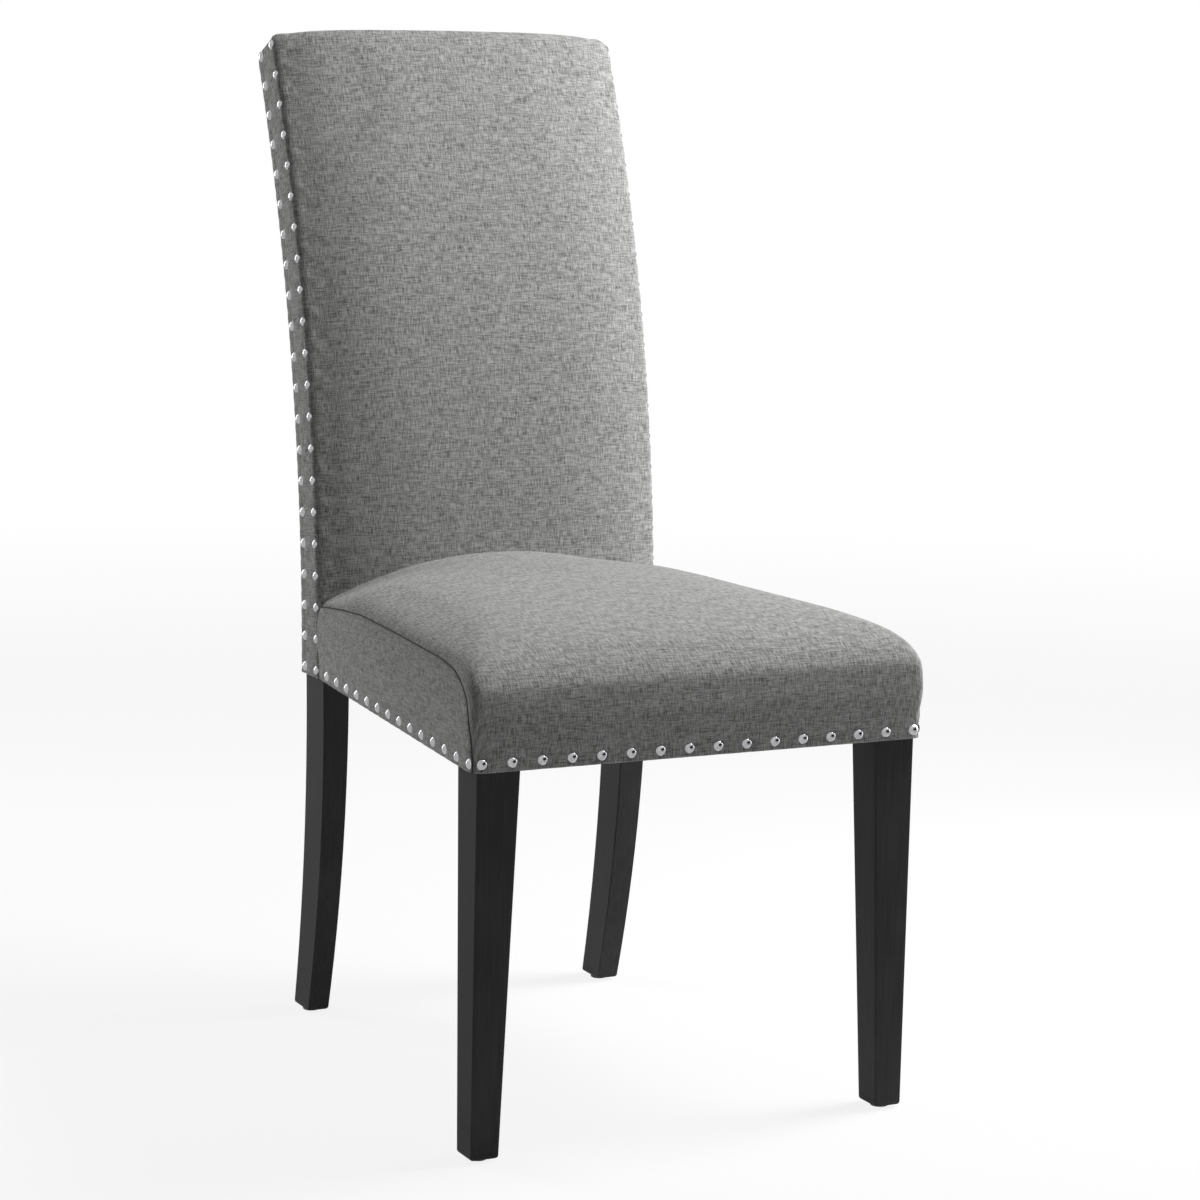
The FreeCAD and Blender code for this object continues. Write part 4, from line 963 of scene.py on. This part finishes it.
def pale_floor():
    """A floor that shows white from afar, and near the chair lets its shadow darken it a little."""
    side = FLOOR_REACH
    _, tree = stage_plane("floor", [(-side, -side, 0), (side, -side, 0), (side, side, 0), (-side, side, 0)])
    tree.nodes.clear()
    output = tree.nodes.new("ShaderNodeOutputMaterial")
    matt = put(tree, "ShaderNodeBsdfDiffuse", {"Color": (0.8, 0.8, 0.8, 1)})
    glow = put(tree, "ShaderNodeEmission", {"Color": (1, 1, 1, 1), "Strength": 1.0})
    place = tree.nodes.new("ShaderNodeTexCoord").outputs["Object"]
    away = put(tree, "ShaderNodeVectorMath", {0: place}, operation="LENGTH").outputs["Value"]
    strength = put(tree, "ShaderNodeMapRange", {"Value": away, "From Min": GLOW_NEAR, "From Max": GLOW_FAR,
                                                "To Min": GLOW_SHARE, "To Max": 1.0},
                   interpolation_type="SMOOTHSTEP").outputs[0]
    share = put(tree, "ShaderNodeMath", {0: seen_directly(tree), 1: strength}, operation="MULTIPLY")
    mixed = put(tree, "ShaderNodeMixShader", {0: share.outputs[0], 1: matt.outputs[0], 2: glow.outputs[0]})
    tree.links.new(mixed.outputs[0], output.inputs[0])


def black_flag(name, middle):
    """A dark card out of the picture, which gives the chrome and the black wood something to mirror."""
    middle = Vector(middle)
    sideways = middle.cross((0, 0, 1)).normalized() * FLAG_WIDTH / 2
    low, high = Vector((0, 0, FLAG_LOW)), Vector((0, 0, FLAG_HIGH))
    piece, tree = stage_plane(name, [middle - sideways + low, middle + sideways + low,
                                     middle + sideways + high, middle - sideways + high])
    shader = next(node for node in tree.nodes if node.type == "BSDF_PRINCIPLED")
    shader.inputs["Base Color"].default_value = (0.02, 0.02, 0.02, 1)
    shader.inputs["Roughness"].default_value = 0.9
    piece.visible_camera = False


def softbox(name, place, target, width, height, power):
    """A lamp of a width and height in metres and a power in watts, turned to its target."""
    data = bpy.data.lights.new(name, "AREA")
    data.shape = "RECTANGLE"
    data.size, data.size_y = width, height
    data.energy = power
    piece = as_object(data, name)
    piece.location = place
    piece.rotation_mode = "QUATERNION"
    piece.rotation_quaternion = (Vector(target) - Vector(place)).to_track_quat("-Z", "Y")


def plain_sky():
    """A white surround for the eye that adds little light."""
    world = bpy.context.scene.world or bpy.data.worlds.new("studio")
    bpy.context.scene.world = world
    world.use_nodes = True
    tree = world.node_tree
    tree.nodes.clear()
    output = tree.nodes.new("ShaderNodeOutputWorld")
    strength = put(tree, "ShaderNodeMapRange", {"Value": seen_directly(tree), "To Min": SKY_LIGHT,
                                                "To Max": 1.0}).outputs[0]
    light = put(tree, "ShaderNodeBackground", {"Color": (1, 1, 1, 1), "Strength": strength})
    tree.links.new(light.outputs[0], output.inputs[0])


pale_floor()
black_flag("front flag", (2.2, -4.4, 0))
black_flag("rear flag", (-2.6, 4.4, 0))
softbox("right softbox", (1.5, -0.15, 1.0), (0.0, 0.1, 0.7), 0.6, 1.6, 27)
softbox("high right softbox", (1.2, -0.3, 2.2), (0.0, 0.1, 0.6), 0.7, 0.7, 42)
softbox("overhead softbox", (0.3, -0.45, 1.9), (0.0, 0.0, 0.6), 0.8, 0.8, 2.5)
softbox("left rear softbox", (-1.3, 1.6, 1.0), (-0.1, 0.1, 0.6), 0.9, 1.6, 20)
plain_sky()

# Camera, at the photograph's angle: its place, its turns, and its focal length in the photograph's pixels.
EYE = (-1.54361, -2.84446 + FRONT, 1.04397)
AZIMUTH, ELEVATION, ROLL = math.radians(-26.725), math.radians(9.383), math.radians(1.294)
FOCAL_PIXELS = 3574.8
PHOTO_PIXELS = 1200
SENSOR = 36.0

toward_eye = Vector((math.sin(AZIMUTH) * math.cos(ELEVATION), -math.cos(AZIMUTH) * math.cos(ELEVATION),
                     math.sin(ELEVATION)))
across = Vector((0, 0, 1)).cross(toward_eye).normalized()
upward = toward_eye.cross(across)
turned_across = math.cos(ROLL) * across + math.sin(ROLL) * upward
turned_up = -math.sin(ROLL) * across + math.cos(ROLL) * upward
turn = Matrix((turned_across, turned_up, toward_eye)).transposed().to_4x4()
optics = bpy.data.cameras.new("camera")
optics.sensor_width = SENSOR
optics.lens = FOCAL_PIXELS * SENSOR / PHOTO_PIXELS
optics.clip_start, optics.clip_end = 0.1, 60
camera = as_object(optics, "camera")
camera.matrix_world = Matrix.Translation(EYE) @ turn
bpy.context.scene.camera = camera
bpy.context.scene.view_settings.view_transform = "Standard"

bpy.ops.object.select_all(action="DESELECT")
